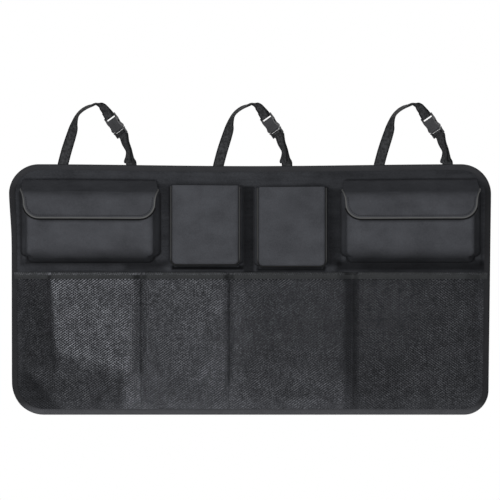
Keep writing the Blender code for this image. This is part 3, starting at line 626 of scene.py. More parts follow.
def sides_along(points):
    """For each point of a line: two directions square to it that don't twist."""
    directions = []
    for k in range(len(points)):
        before, after = points[max(k - 1, 0)], points[min(k + 1, len(points) - 1)]
        directions.append((after - before).normalized())
    first = directions[0].cross(FRONT)
    side = (first if first.length > 0.1 else directions[0].cross(UP)).normalized()
    found = []
    for direction in directions:
        side = (side - direction * side.dot(direction)).normalized()
        found.append((side, direction.cross(side)))
    return found


def mapped_mesh(name, verts, faces, maps):
    """A mesh whose faces' corners carry places in metres across and along the cloth."""
    mesh = bpy.data.meshes.new(name)
    mesh.from_pydata([tuple(vert) for vert in verts], [], faces)
    layer = mesh.uv_layers.new(name="cloth")
    for face, corners in zip(mesh.polygons, maps):
        for index, corner in zip(face.loop_indices, corners):
            layer.data[index].uv = corner
    return mesh


def cord_mesh(name, lines, radius, sides=8):
    """Round cords along lines in one mesh, each closed at its ends, with a map round and along them."""
    verts, faces, maps = [], [], []
    for points in lines:
        points = [Vector(point) for point in points]
        lengths = running_lengths(points)
        start = len(verts)
        for point, (side, up) in zip(points, sides_along(points)):
            for turn in range(sides):
                angle = 2 * math.pi * turn / sides
                verts.append(point + (side * math.cos(angle) + up * math.sin(angle)) * radius)
        around = 2 * math.pi * radius
        for k, (here, there) in enumerate(zip(lengths, lengths[1:])):
            for turn in range(sides):
                a = start + k * sides + turn
                b = start + k * sides + (turn + 1) % sides
                faces.append((a, b, b + sides, a + sides))
                low, high = around * turn / sides, around * (turn + 1) / sides
                maps.append(((low, here), (high, here), (high, there), (low, there)))
        last = start + (len(points) - 1) * sides
        faces.append(tuple(reversed(range(start, start + sides))))
        maps.append(tuple((0.0, 0.0) for _ in range(sides)))
        faces.append(tuple(range(last, last + sides)))
        maps.append(tuple((0.0, lengths[-1]) for _ in range(sides)))
    return mapped_mesh(name, verts, faces, maps)


def resampled(points, step):
    """Points at an even spacing along a line."""
    points = [Vector(point) for point in points]
    lengths = running_lengths(points)
    total = lengths[-1]
    count = max(1, round(total / step))
    found, k = [], 0
    for index in range(count + 1):
        reach = total * index / count
        while k < len(lengths) - 2 and lengths[k + 1] < reach:
            k += 1
        span = max(lengths[k + 1] - lengths[k], 1e-9)
        found.append(points[k].lerp(points[k + 1], (reach - lengths[k]) / span))
    return found


# A stitch is a four-sided ring at two stations and a point sunk in the cloth at each end.
STITCH_RING = ((0.7071, 0.7071), (-0.7071, 0.7071), (-0.7071, -0.7071), (0.7071, -0.7071))
STITCH_STATIONS = (-0.34, 0.34)
STITCH_SHARES = (0.16, 0.84)
STITCH_SINK = 0.6


def stitch_mesh(name, seams, width):
    """Rows of stitches. Each seam is a line of points and the direction in which the cloth faces."""
    length, gap = sizes().stitch, sizes().stitch_gap
    near, far = (length * share for share in STITCH_SHARES)
    verts, faces, maps = [], [], []
    for points, facing in seams:
        places = resampled(points, length + gap)
        for start, end in zip(places, places[1:]):
            along = end - start
            if along.length < 1e-6:
                continue
            along.normalize()
            up = (facing - along * facing.dot(along)).normalized()
            side = along.cross(up)
            centre = (start + end) / 2
            first = len(verts)
            verts.append(centre - along * length / 2 - up * width * STITCH_SINK)
            for station in STITCH_STATIONS:
                ring = centre + along * length * station
                for sideways, rise in STITCH_RING:
                    verts.append(ring + side * width * sideways + up * width * rise)
            verts.append(centre + along * length / 2 - up * width * STITCH_SINK)
            for turn in range(4):
                a, b = first + 1 + turn, first + 1 + (turn + 1) % 4
                faces += [(first, b, a), (a, b, b + 4, a + 4), (a + 4, b + 4, first + 9)]
                low, high = width * turn, width * (turn + 1)
                maps += [
                    ((low, 0.0), (high, near), (low, near)),
                    ((low, near), (high, near), (high, far), (low, far)),
                    ((low, far), (high, far), (low, length)),
                ]
    mesh = mapped_mesh(name, verts, faces, maps)
    shape = bmesh.new()
    shape.from_mesh(mesh)
    bmesh.ops.recalc_face_normals(shape, faces=shape.faces)
    shape.to_mesh(mesh)
    shape.free()
    return mesh


def stitches(name, seams, settled=True, width=0.00032):
    piece = link_piece(name, stitch_mesh(name, seams, width))
    smooth_edges(piece, 80)
    return hand_in(piece, "thread", settled=settled)


def arc(centre, radius, start_deg, end_deg, steps):
    turn = math.radians(end_deg - start_deg)
    start = math.radians(start_deg)
    angles = [start + turn * k / steps for k in range(steps + 1)]
    return [(centre[0] + radius * math.cos(a), centre[1] + radius * math.sin(a)) for a in angles]


def filleted(corners, radii, step):
    """A line in two dimensions through corners, each rounded to its radius, in short steps."""
    points = [Vector(corners[0])]
    for k in range(1, len(corners) - 1):
        before, corner, after = (Vector(corners[k + shift]) for shift in (-1, 0, 1))
        to_before, to_after = (before - corner).normalized(), (after - corner).normalized()
        half = to_before.angle(to_after) / 2
        cut = radii[k] / math.tan(half)
        centre = corner + (to_before + to_after).normalized() * radii[k] / math.sin(half)
        start, end = corner + to_before * cut - centre, corner + to_after * cut - centre
        steps = max(3, math.ceil(radii[k] * start.angle(end) / (step * 0.45)))
        run = (centre + start) - points[-1]
        count = max(1, math.ceil(run.length / step))
        for _ in range(1, count):
            points.append(points[-1] + run / count)
        points += [centre + start.slerp(end, index / steps) * radii[k] for index in range(steps + 1)]
    last = Vector(corners[-1])
    run = last - points[-1]
    count = max(1, math.ceil(run.length / step))
    first = points[-1].copy()
    points += [first + run * (index + 1) / count for index in range(count)]
    return points


# Panel


def half_width(z):
    share = (z - PANEL_BOTTOM) / PANEL_HEIGHT
    return mix(PANEL_BOTTOM_HALF, PANEL_TOP_HALF, share)


def edge_x(z, side, inset=0.0):
    """X of the panel's left (-1) or right (1) edge at height z, moved in by inset, corners included."""
    low_radius = BOTTOM_LEFT_CORNER if side < 0 else BOTTOM_RIGHT_CORNER
    low, high = PANEL_BOTTOM + low_radius, PANEL_TOP - TOP_CORNER
    if z > high:
        radius, centre = TOP_CORNER, high
    elif z < low:
        radius, centre = low_radius, low
    else:
        return side * (half_width(z) - inset)
    reach = math.sqrt(max(0.0, (radius - inset) ** 2 - (z - centre) ** 2))
    return side * (half_width(centre) - radius + reach)


# How closely the rim is followed by the tape and by its stitches
RIM_TAPE_STEP = 0.004
RIM_STITCH_STEP = 0.003


def rim_stations(step):
    """Places round the panel's outline with their outward directions, from the bottom left corner on."""
    corners = (
        (Vector((-PANEL_BOTTOM_HALF, PANEL_BOTTOM)), BOTTOM_LEFT_CORNER),
        (Vector((-PANEL_TOP_HALF, PANEL_TOP)), TOP_CORNER),
        (Vector((PANEL_TOP_HALF, PANEL_TOP)), TOP_CORNER),
        (Vector((PANEL_BOTTOM_HALF, PANEL_BOTTOM)), BOTTOM_RIGHT_CORNER),
    )
    arcs = []
    for k, (corner, radius) in enumerate(corners):
        to_before = (corners[k - 1][0] - corner).normalized()
        to_after = (corners[(k + 1) % 4][0] - corner).normalized()
        half = to_before.angle(to_after) / 2
        centre = corner + (to_before + to_after).normalized() * radius / math.sin(half)
        start = (corner + to_before * radius / math.tan(half) - centre).normalized()
        end = (corner + to_after * radius / math.tan(half) - centre).normalized()
        arcs.append((centre, radius, start, end))
    found = []
    for k, (centre, radius, start, end) in enumerate(arcs):
        steps = math.ceil(radius * start.angle(end) / step)
        turns = [start.slerp(end, i / steps) for i in range(steps)]
        found += [(centre + outward * radius, outward) for outward in turns]
        here = centre + end * radius
        after = arcs[(k + 1) % 4]
        there = after[0] + after[2] * after[1]
        count = math.ceil((there - here).length / step)
        found += [(here.lerp(there, i / count), end) for i in range(count)]
    return found


def rim_line(grow, y):
    """A closed line round the panel for stitches, moved out by grow, at depth y."""
    line = []
    for place, outward in rim_stations(RIM_STITCH_STEP):
        moved = place + outward * grow
        line.append(Vector((moved.x, y, moved.y)))
    return [*line, line[0]]


def inside_panel(x, z):
    """How far a place lies inside the panel's outline."""
    nearest = min(x - edge_x(z, -1), edge_x(z, 1) - x, z - PANEL_BOTTOM, PANEL_TOP - z)
    for side, radius in ((-1, BOTTOM_LEFT_CORNER), (1, BOTTOM_RIGHT_CORNER)):
        centre = Vector((side * (half_width(PANEL_BOTTOM + radius) - radius), PANEL_BOTTOM + radius))
        if (x - centre.x) * side > 0 and z < centre.y:
            nearest = radius - (Vector((x, z)) - centre).length
    return nearest


# Painted shade on the panel's cloth, round and between the pockets, above the flaps' seams and at the top
# right: left, right, low, high, softness and brightness
PAINTED_SHADE = (
    (-0.0125, 0.0085, 0.030, 0.196, 0.004, 0.40),
    (-0.146, -0.014, 0.0355, 0.046, 0.0025, 0.13),
    (0.012, 0.143, 0.0345, 0.043, 0.0025, 0.17),
    (-0.425, -0.150, 0.044, 0.056, 0.010, 0.55),
    (-0.235, -0.160, 0.034, 0.050, 0.018, 0.45),
    (0.160, 0.440, 0.034, 0.054, 0.010, 0.32),
    (0.146, 0.172, 0.045, 0.190, 0.006, 0.60),
    (0.120, 0.460, 0.205, 0.236, 0.030, 0.74),
    (-0.431, -0.427, 0.045, 0.185, 0.003, 0.50),
    (0.430, 0.434, 0.045, 0.185, 0.003, 0.60),
    (-0.422, -0.176, 0.2045, 0.2085, 0.0025, 0.45),
    (0.177, 0.424, 0.2045, 0.2085, 0.0025, 0.45),
)


# The cloth is painted brighter by this share behind the second and third net bays, below the net's tape.
BEHIND_NET_GAIN = 0.6
BEHIND_NET_TOP = NET_TOP - 0.012

# The panel's grid of points, with rows close to its edges that keep them sharp
PANEL_ROWS = 120
PANEL_COLUMNS = 180
PANEL_EDGE_ROWS = (0.0006, 0.002)

# The binding, in from the rim: its stitch line, its fold's centre, its back leg's places, and its front
# leg's places with how far it puffs out at each
BINDING_STITCH_INSET = 0.0084
BINDING_FOLD_INSET = 0.0012
BINDING_BACK_LEG = (BINDING_LEG, 0.0085, 0.005)
BINDING_FRONT_LEG = ((0.0030, 0.0002), (0.0050, 0.0003), (0.0070, 0.0001), (0.0085, 0.0), (BINDING_LEG, 0.0))
BINDING_PUCKER = 0.00016


def panel_painted_light(x, y, z):
    """The painted light and shade of the panel's cloth at a place on its front. The back is painted neither
    darker nor brighter.
    """
    if y > PANEL_BACK - PANEL_THICKNESS / 2:
        return 1.0
    level = 1.0
    for left, right, low, high, soft, bright in PAINTED_SHADE:
        inside = min(smooth((x - left) / soft + 0.5), smooth((right - x) / soft + 0.5),
                     smooth((z - low) / soft + 0.5), smooth((high - z) / soft + 0.5))
        level *= mix(1.0, bright, inside)
    across = smooth((x - NET_SEAMS[0]) / 0.01) * smooth((NET_SEAMS[2] - x) / 0.01)
    behind = across * smooth((BEHIND_NET_TOP - z) / 0.006)
    return level * (1.0 + BEHIND_NET_GAIN * behind)


class ORGANIZER_OT_panel(bpy.types.Operator):
    """Make the stiffened back panel as one hanging sheet"""

    bl_idname = "organizer.panel"
    bl_label = "Back Panel"

    def execute(self, context):
        inner = [PANEL_BOTTOM + PANEL_HEIGHT * k / PANEL_ROWS for k in range(1, PANEL_ROWS)]
        heights = [PANEL_BOTTOM, *[PANEL_BOTTOM + inset for inset in PANEL_EDGE_ROWS], *inner,
                   *[PANEL_TOP - inset for inset in reversed(PANEL_EDGE_ROWS)], PANEL_TOP]
        y = (PANEL_BACK + PANEL_FRONT) / 2
        rows = []
        for z in heights:
            left, right = edge_x(z, -1, 0.0002), edge_x(z, 1, 0.0002)
            rows.append([(mix(left, right, k / PANEL_COLUMNS), y, z) for k in range(PANEL_COLUMNS + 1)])
        piece = cloth_piece("panel_cloth", rows, PANEL_THICKNESS)
        paint_light(piece, panel_painted_light)
        hand_in(piece, "panel", ["back_panel"])
        return {"FINISHED"}


class ORGANIZER_OT_binding(bpy.types.Operator):
    """Fold the woven tape round the panel's edge and sew it"""

    bl_idname = "organizer.binding"
    bl_label = "Edge Binding"

    def execute(self, context):
        depth = (BINDING_BACK_Y - BINDING_FRONT_Y) / 2
        middle = (BINDING_BACK_Y + BINDING_FRONT_Y) / 2
        rim = GAP + BINDING_THICKNESS / 2
        inset = BINDING_FOLD_INSET
        turns = [math.radians(degrees) for degrees in range(75, -76, -15)]
        fold = [(-inset + (rim + inset) * math.cos(a), middle + depth * math.sin(a)) for a in turns]
        section = [*[(-reach, BINDING_BACK_Y) for reach in BINDING_BACK_LEG], *fold]
        section += [(-reach, BINDING_FRONT_Y - puff) for reach, puff in BINDING_FRONT_LEG]
        stations = rim_stations(RIM_TAPE_STEP)
        rows = []
        for place, outward in [*stations, stations[0]]:
            pucker = BINDING_PUCKER * noise.noise((place.x * 160, place.y * 160, 5.0))
            row = []
            for grow, y in section:
                moved = place + outward * grow
                row.append((moved.x, y - (pucker if y < middle else 0.0), moved.y))
            rows.append(row)
        piece = cloth_piece("binding_tape", rows, BINDING_THICKNESS, closed=True)
        hand_in(piece, "binding", ["edge_binding"])
        front_y = BINDING_FRONT_Y - BINDING_THICKNESS / 2 - 0.00010
        back_y = BINDING_BACK_Y + BINDING_THICKNESS / 2 + 0.00005
        front_line = rim_line(-BINDING_STITCH_INSET, front_y)
        back_line = rim_line(-BINDING_STITCH_INSET, back_y)
        sewn = stitches("binding_stitches", [(front_line, FRONT), (back_line, BACK)])
        length = line_length(front_line)
        return {"FINISHED"}


class ORGANIZER_OT_hook_strips(bpy.types.Operator):
    """Model the three hook strips on the back and sew them on"""

    bl_idname = "organizer.hook_strips"
    bl_label = "Hook Strips"

    def execute(self, context):
        seams = []
        for side in ("left", "middle", "right"):
            low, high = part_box("hook_strip_" + side)
            piece = strip_block("hook_pile_" + side, low, high)
            hand_in(piece, "hooks", ["hook_strip_" + side], settled=False)
            inset, y = 0.0025, high.y + 0.00002
            left, right, bottom, top = low.x + inset, high.x - inset, low.z + inset, high.z - inset
            outline = ((left, bottom), (left, top), (right, top), (right, bottom), (left, bottom))
            corners = [(x, y, z) for x, z in outline]
            seams.append((corners, BACK))
        stitches("hook_strip_stitches", seams, settled=False)
        return {"FINISHED"}


def strip_block(name, low, high):
    """A flat strip of pile tape: a block with an inset selvedge, a raised pile and rounded edges."""
    deselect()
    size = high - low
    bpy.ops.mesh.primitive_cube_add(size=1.0, location=(low + high) / 2)
    piece = bpy.context.object
    piece.name = name
    piece.scale = size
    bpy.ops.object.transform_apply(location=True, rotation=True, scale=True)
    bpy.ops.object.mode_set(mode="EDIT")
    bpy.ops.mesh.select_all(action="DESELECT")
    bpy.ops.object.mode_set(mode="OBJECT")
    for face in piece.data.polygons:
        face.select = abs(face.normal.y) > 0.9
    bpy.ops.object.mode_set(mode="EDIT")
    bpy.ops.mesh.inset(thickness=min(0.0035, size.x / 12), depth=0.0)
    bpy.ops.mesh.inset(thickness=0.0006, depth=-0.00015)
    bpy.ops.mesh.select_all(action="SELECT")
    bpy.ops.object.mode_set(mode="OBJECT")
    rounding = piece.modifiers.new("rounding", "BEVEL")
    rounding.width = 0.0003
    rounding.segments = 2
    rounding.limit_method = "ANGLE"
    apply_modifiers(piece)
    smooth_edges(piece)
    return piece


# Net pockets

# Each bay: how far it stands out, the widths over which its sides rise, and how much brighter one slant is
# painted
NET_BAYS = (
    {"depth": 0.024, "left": 0.062, "right": 0.018, "slant": 0.12},
    {"depth": 0.017, "left": 0.014, "right": 0.012, "slant": 0.10},
    {"depth": 0.019, "left": 0.012, "right": 0.034, "slant": 0.14},
    {"depth": 0.016, "left": 0.012, "right": 0.040, "slant": -0.14},
)
NET_BOTTOM_RISE = 0.085
NET_BORDER_RISE = 0.018
NET_TOP_ROOM = 0.0017
HEM_HEIGHT = 0.0112
NET_SIDES = 4
NET_FULLNESS = 0.03

# How far in from the rim the net ends, how far it goes under the binding's leg, how far its two slants
# lie from its middle, and the longest span and shortest length of a thread
NET_EDGE_INSET = BINDING_LEG * 0.6
NET_TUCK = BINDING_LEG * 0.4
NET_CROSSING = 0.0003
NET_SPAN = 0.0031
NET_SHORTEST = 0.001

# The first bay's pleat: a steep fold and a lower, flatter one, each through a place in X and Z at a slope
FOLD_PLACE = (-0.3734, 0.027)
FOLD_SLOPE = 0.0706
LOWER_FOLD_PLACE = (-0.3547, -0.1242)
LOWER_FOLD_SLOPE = 0.277


def bay_edges():
    edges = [edge_x(NET_TOP, -1, BINDING_LEG), *NET_SEAMS, edge_x(NET_TOP, 1, BINDING_LEG)]
    return list(zip(edges, edges[1:]))


def pleat_shares(x, z):
    """The first bay's pleat: how far a place lies to the right of its fold and above its lower fold."""
    fold_x = FOLD_PLACE[0] + FOLD_SLOPE * (FOLD_PLACE[1] - z)
    fold_z = LOWER_FOLD_PLACE[1] - LOWER_FOLD_SLOPE * (x - LOWER_FOLD_PLACE[0])
    return smooth((x - fold_x + 0.0045) / 0.010), smooth((z - fold_z + 0.015) / 0.030)


def net_out(x, z):
    """How far the net's middle stands in front of the panel."""
    rise = 0.0
    for (left, right), bay in zip(bay_edges(), NET_BAYS):
        if left <= x <= right:
            rise_left = smooth((x - left) / bay["left"])
            if bay is NET_BAYS[0]:
                beyond, above = pleat_shares(x, z)
                rise_left = 0.20 * smooth((x - left) / 0.030) + 0.80 * beyond * mix(0.45, 1.0, above)
            rise = bay["depth"] * rise_left * smooth((right - x) / bay["right"])
            sway = noise.noise((x * 14.0, z * 9.0, 21.0))
            sway += 0.5 * noise.noise((x * 30.0 + z * 18.0, z * 20.0, 2.0))
            rise *= 1.0 + 0.12 * sway
    height = min(z, NET_TOP - HEM_HEIGHT - 0.001) - PANEL_BOTTOM
    inside = inside_panel(x, z) - BINDING_LEG
    rise *= smooth((height - BINDING_LEG) / NET_BOTTOM_RISE) * smooth(inside / NET_BORDER_RISE)
    share = height / (NET_TOP - PANEL_BOTTOM)
    room = (NET_TOP_ROOM - GAP) * smooth(2 * share - 1) * smooth(inside / 0.003)
    return GAP + NET_THICKNESS / 2 + room + rise


def net_painted_light(x, _, z):
    """The painted light and shade of the stretched net, from its pleat over to the far right bay."""
    if x < NET_SEAMS[0]:
        # Painted shade under the lower fold, but for a painted bright diagonal and the stretch beside the
        # first seam
        beyond, above = pleat_shares(x, z)
        streak = smooth((x + 0.4051 + 0.861 * (z + 0.1596) + 0.012) / 0.024)
        lower = mix(mix(0.12, 0.44, streak), 1.0, smooth((x + 0.242) / 0.016))
        return mix(mix(lower, 0.25, smooth((z + 0.165) / 0.03)), mix(lower, 1.0, above), beyond)
    if x < NET_SEAMS[1]:
        return mix(0.60, 0.70, (x - NET_SEAMS[0]) / (NET_SEAMS[1] - NET_SEAMS[0]))
    if x < NET_SEAMS[2]:
        level = mix(0.52, 0.36, smooth((x + 0.03) / 0.05)) - 0.30 * smooth((x - 0.172) / 0.010)
        return level + 0.12 * smooth((-0.12 - z) / 0.06)
    return mix(0.16, 0.37, smooth((x - 0.197) / 0.010))


# Painted light of the overlock on the net's tape: the net's own painted light at its top edge
def hem_painted_light(x, y, _):
    return net_painted_light(max(x, -0.30), y, NET_TOP)


def paint_light(piece, level, slants=None, lean=0.0):
    """Writes on each point of a piece the painted light and shade that its colour is multiplied by.

    Threads of the two slants, 1 and -1, are painted unevenly bright, as the net is drawn one way or the other
    and one slant catches more light.
    """
    painted = piece.data.attributes.new("painted_light", "FLOAT", "POINT")
    for k, (vert, value) in enumerate(zip(piece.data.vertices, painted.data)):
        x, y, z = vert.co
        value.value = level(x, y, z)
        if slants:
            value.value *= 1 + slants[k] * (lean + 0.40 * noise.noise((x * 40, z * 40, 6.0)))


def net_lines(left, right, low, high):
    """Lines of both slants of a diamond net between two sides, cut off at the panel's binding.

    With them comes the slant, 1 or -1, of each point of the cords along the lines.
    """
    width, height = sizes().net_width, sizes().net_height
    slope = width / height
    lines, slants = [], []
    for sign in (1, -1):
        slant = sign * slope
        starts = [edge - slant * z for edge in (left, right) for z in (low, high)]
        for index in range(math.floor(min(starts) / width), math.ceil(max(starts) / width) + 1):
            root = index * width
            ends = sorted(((left - root) / slant, (right - root) / slant))
            bottom, top = max(low, ends[0]), min(high, ends[1])
            if top - bottom < NET_SHORTEST:
                continue
            count = max(1, math.ceil((top - bottom) / NET_SPAN))
            line = []
            for k in range(count + 1):
                z = mix(bottom, top, k / count)
                x = root + slant * z
                if inside_panel(x, z) > NET_EDGE_INSET:
                    line.append((x, PANEL_FRONT - net_out(x, z) - sign * NET_CROSSING, z))
            if len(line) > 1:
                lines.append(line)
                slants += [sign] * (len(line) * NET_SIDES)
    return lines, slants


class ORGANIZER_OT_net_pockets(bpy.types.Operator):
    """Knot the diamond net of each bay and sew it to the panel"""

    bl_idname = "organizer.net_pockets"
    bl_label = "Net Pockets"

    def execute(self, context):
        low, high = PANEL_BOTTOM + NET_EDGE_INSET, NET_TOP
        for number, (left, right) in enumerate(bay_edges(), 1):
            reach_left = left - (NET_TUCK if number == 1 else 0.0)
            reach_right = right + (NET_TUCK if number == 4 else 0.0)
            lines, slants = net_lines(reach_left, reach_right, low, high)
            name = "net_bay_%d" % number
            piece = link_piece(name, cord_mesh(name, lines, sizes().net_thread, sides=NET_SIDES))
            paint_light(piece, net_painted_light, slants, NET_BAYS[number - 1]["slant"])
            smooth_edges(piece, 100)
            hand_in(piece, "net")
            right - left + NET_FULLNESS
        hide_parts("net_sheet")
        seams = []
        for x in NET_SEAMS:
            heights = (low + 0.006, -0.10, -0.04, NET_TOP - 0.002)
            seams.append(([(x, PANEL_FRONT - net_out(x, z) - 0.0005, z) for z in heights], FRONT))
        stitches("net_seam_stitches", seams)
        return {"FINISHED"}


def beside(line, reach):
    """A line in X and Y moved sideways, so that each of its spans moves by reach."""
    spans = [(end - start).normalized().orthogonal() for start, end in zip(line, line[1:])]
    normals = [spans[0], *spans, spans[-1]]
    moved = []
    for place, before, after in zip(line, normals, normals[1:]):
        moved.append(place + (before + after) * reach / (1 + before.dot(after)))
    return moved


# The tape over the net's mouth: its columns of points, how far its face puffs out and lies over the binding,
# and how far below its top its stitches run
TAPE_COLUMNS = 360
TAPE_PUFF = 0.0002
TAPE_OVER_BINDING = 0.0014
TAPE_STITCH_DROP = 0.0094

# The zigzag overlock on it: pitch, thread radius, stand-off, and how far below the top its two rows turn
OVERLOCK_PITCH = 0.0021
OVERLOCK_RADIUS = 0.00052
OVERLOCK_LIFT = 0.0004
OVERLOCK_DROPS = (-0.0006, 0.0040)


def folded_tape(name, line, top, drop, half, thickness):
    """A tape folded over an edge that follows a line in X and Y."""
    front, back = beside(line, -half), beside(line, half)
    rows = []
    out = beside(line, -half - TAPE_PUFF)
    over_front, over_back = beside(line, -half * 0.7), beside(line, half * 0.7)
    for z, side in (
        (top - drop, front), (top - drop * 0.7, out), (top - drop * 0.35, out), (top - 0.0004, front),
        (top + half * 0.7, over_front), (top + half, line), (top + half * 0.7, over_back),
        (top - 0.0004, back), (top - drop * 0.5, back), (top - drop, back),
    ):
        rows.append([(*place, z) for place in side])
    return cloth_piece(name, rows, thickness)


class ORGANIZER_OT_net_tape(bpy.types.Operator):
    """Fold the ribbed tape over the net's mouth and sew it"""

    bl_idname = "organizer.net_tape"
    bl_label = "Net Tape"

    def execute(self, context):
        left, right = edge_x(NET_TOP, -1, NET_TUCK), edge_x(NET_TOP, 1, NET_TUCK)
        line = []
        for k in range(TAPE_COLUMNS + 1):
            x = mix(left, right, k / TAPE_COLUMNS)
            inner = min(max(x, edge_x(NET_TOP, -1, BINDING_LEG)), edge_x(NET_TOP, 1, BINDING_LEG))
            over = smooth((BINDING_LEG + 0.002 - inside_panel(x, NET_TOP)) / 0.004) * TAPE_OVER_BINDING
            line.append(Vector((x, PANEL_FRONT - net_out(inner, NET_TOP) - over)))
        half = NET_THICKNESS / 2 + GAP + TAPE_THICKNESS / 2
        piece = folded_tape("net_mouth_tape", line, NET_TOP, HEM_HEIGHT, half, TAPE_THICKNESS)
        hand_in(piece, "net_tape", ["net_top_tape"])
        face = beside(line, -half - TAPE_THICKNESS / 2 - OVERLOCK_LIFT)
        # A zigzag overlock in the net's own thread, and one row of stitches under it
        places = resampled([(*place, 0.0) for place in face], OVERLOCK_PITCH)
        zigzag = [(place.x, place.y, NET_TOP - OVERLOCK_DROPS[k % 2]) for k, place in enumerate(places)]
        rib = link_piece("net_overlock", cord_mesh("net_overlock", [zigzag], OVERLOCK_RADIUS, sides=6))
        paint_light(rib, hem_painted_light)
        smooth_edges(rib, 80)
        hand_in(rib, "net")
        seam = [(*place, NET_TOP - TAPE_STITCH_DROP) for place in face[::2]]
        sewn = stitches("net_tape_stitches", [(seam, FRONT)])
        length = line_length(line)
        return {"FINISHED"}


# Pouches

FLAP_POUCH = {
    "top": 0.181, "front_bottom": 0.0615, "base_bottom": 0.050, "front": 0.1175, "base": 0.1305,
    "depth": 0.050, "rounding": 0.010, "low_rounding": 0.029, "outline": 0.010, "crown": 0.0025,
    "lean": 0.0050,
}
# The middle in X, the front's drift to one side, and half the front's width
FLAP_POUCH_PLACES = {"left": (-0.2973, -0.0006, 0.1160), "right": (0.2997, -0.0010, 0.1175)}
BOX_POUCH = {
    "height": 0.148, "base_drop": 0.0045, "front": 0.0610, "base": 0.0690, "depth": 0.035, "rounding": 0.0050,
    "low_rounding": 0.0075, "outline": 0.0085, "crown": 0.0026, "lean": 0.0,
}
# The middle in X, the front's drift to one side, and the mouth's height
BOX_POUCH_PLACES = {"left": (-0.0815, -0.0020, 0.1955), "right": (0.0763, 0.0018, 0.1925)}
SEAM_ALLOWANCE = 0.0012

# Depth of a pouch's creases, how far its gussets draw in, and how far below its mouth it starts to lean back
POUCH_CREASE = 0.00085
GUSSET_DRAW = 0.0016
LEAN_HEIGHT = 0.020

# The turned hem's section, from the mouth's edge to the inside: height over the mouth, and depth behind it
HEM_SECTION = (
    (-0.0006, 0.0), (0.0003, 0.0001), (0.0009, 0.0005), (0.0009, 0.0011),
    (0.0003, 0.0015), (-0.0010, 0.0016), (-0.0050, 0.0016), (-0.0120, 0.0016),
)

# Painted shade: brightness of a gusset at the panel and of a flap pouch's foot, and what the painted shadow of
# the flap's edge takes away under it
GUSSET_PAINTED_LIGHT = 0.42
FOOT_PAINTED_LIGHT = 0.58
UNDER_FLAP_PAINTED_SHADOW = 0.72


def pouch_paths(shape):
    """The pouch's section across it and its section from the bottom up, each as place and depth."""
    edge, depth = SEAM_ALLOWANCE, shape["depth"]
    across = filleted(
        [(-shape["base"] - edge, 0), (-shape["base"], 0), (-shape["front"], depth), (shape["front"], depth),
         (shape["base"], 0), (shape["base"] + edge, 0)],
        [0, 0.0008, shape["rounding"], shape["rounding"], 0.0008, 0], 0.0034,
    )
    upward = filleted(
        [(shape["base_bottom"] - edge, 0), (shape["base_bottom"], 0), (shape["front_bottom"], depth),
         (shape["top"], depth)],
        [0, 0.0008, shape["low_rounding"], 0], 0.0034,
    )
    return across, upward


def outline_share(shape, z):
    """How much narrower the pouch is at a height, for its rounded lower corners."""
    radius = shape["outline"]
    below = min(radius, max(0.0, shape["front_bottom"] + radius - z))
    return 1 - (radius - math.sqrt(radius ** 2 - below ** 2)) / shape["front"]


def pouch_place(shape, x, out_x, z, out_z, seed):
    """The middle of the pouch's wall where its two sections meet."""
    depth = shape["depth"]
    share = 1 - math.hypot(1 - out_x / depth, 1 - out_z / depth)
    share = min(1.0, max(0.0, share))
    # The front crowns out, more toward its open top, and the gussets draw in a little.
    wide = 1 - (x / shape["front"]) ** 2
    tall = (z - shape["front_bottom"]) / (shape["top"] - shape["front_bottom"])
    full = max(0.0, wide) * smooth(tall * 1.6) * (0.75 + 0.25 * tall)
    fold = noise.noise((x * 26.0 + seed, z * 15.0, seed))
    fold += 0.5 * noise.noise((x * 60.0, z * 34.0 + seed, seed))
    out = share * (shape["crown"] * full + POUCH_CREASE * fold * smooth(share * 1.5 - 0.4))
    out -= share * shape["lean"] * smooth((z - shape["top"] + LEAN_HEIGHT) / LEAN_HEIGHT)
    wall = GAP + POUCH_THICKNESS / 2
    y = PANEL_FRONT - wall - share * (depth - wall - POUCH_THICKNESS / 2) - out
    draw = math.sin(math.pi * share) * smooth((1 - out_x / depth) * 6.0) * GUSSET_DRAW
    x = (x - math.copysign(draw, x)) * outline_share(shape, z) + shape["drift"] * share
    lift = math.sin(math.pi * share) * smooth((1 - out_z / depth) * 6.0) * GUSSET_DRAW
    return x, y, z + lift


def pouch(name, shape, x_mid, seed):
    across, upward = pouch_paths(shape)
    rows = []
    for z, out_z in upward:
        row = []
        for x, out_x in across:
            px, py, pz = pouch_place(shape, x, out_x, z, out_z, seed)
            row.append((x_mid + px, py, pz))
        rows.append(row)
    return cloth_piece(name, rows, POUCH_THICKNESS), rows


def turned_hem(name, line, top):
    """The mouth's cloth turned over to the inside, as a strip along a line in X and Y."""
    rows = [[(*place, top + rise) for place in beside(line, reach)] for rise, reach in HEM_SECTION]
    return cloth_piece(name, rows, POUCH_THICKNESS * 0.9)


def pouch_flat(shape):
    """The size of the cloth that the pouch is cut from."""
    across, upward = pouch_paths(shape)
    return line_length(across), line_length(upward)


def mouth_line(rows):
    """The pouch's top edge as a line in X and Y, without its sewn-down ends."""
    top = [Vector(place[:2]) for place in rows[-1]]
    return [place for place in top if place.y < PANEL_FRONT - 0.0035]


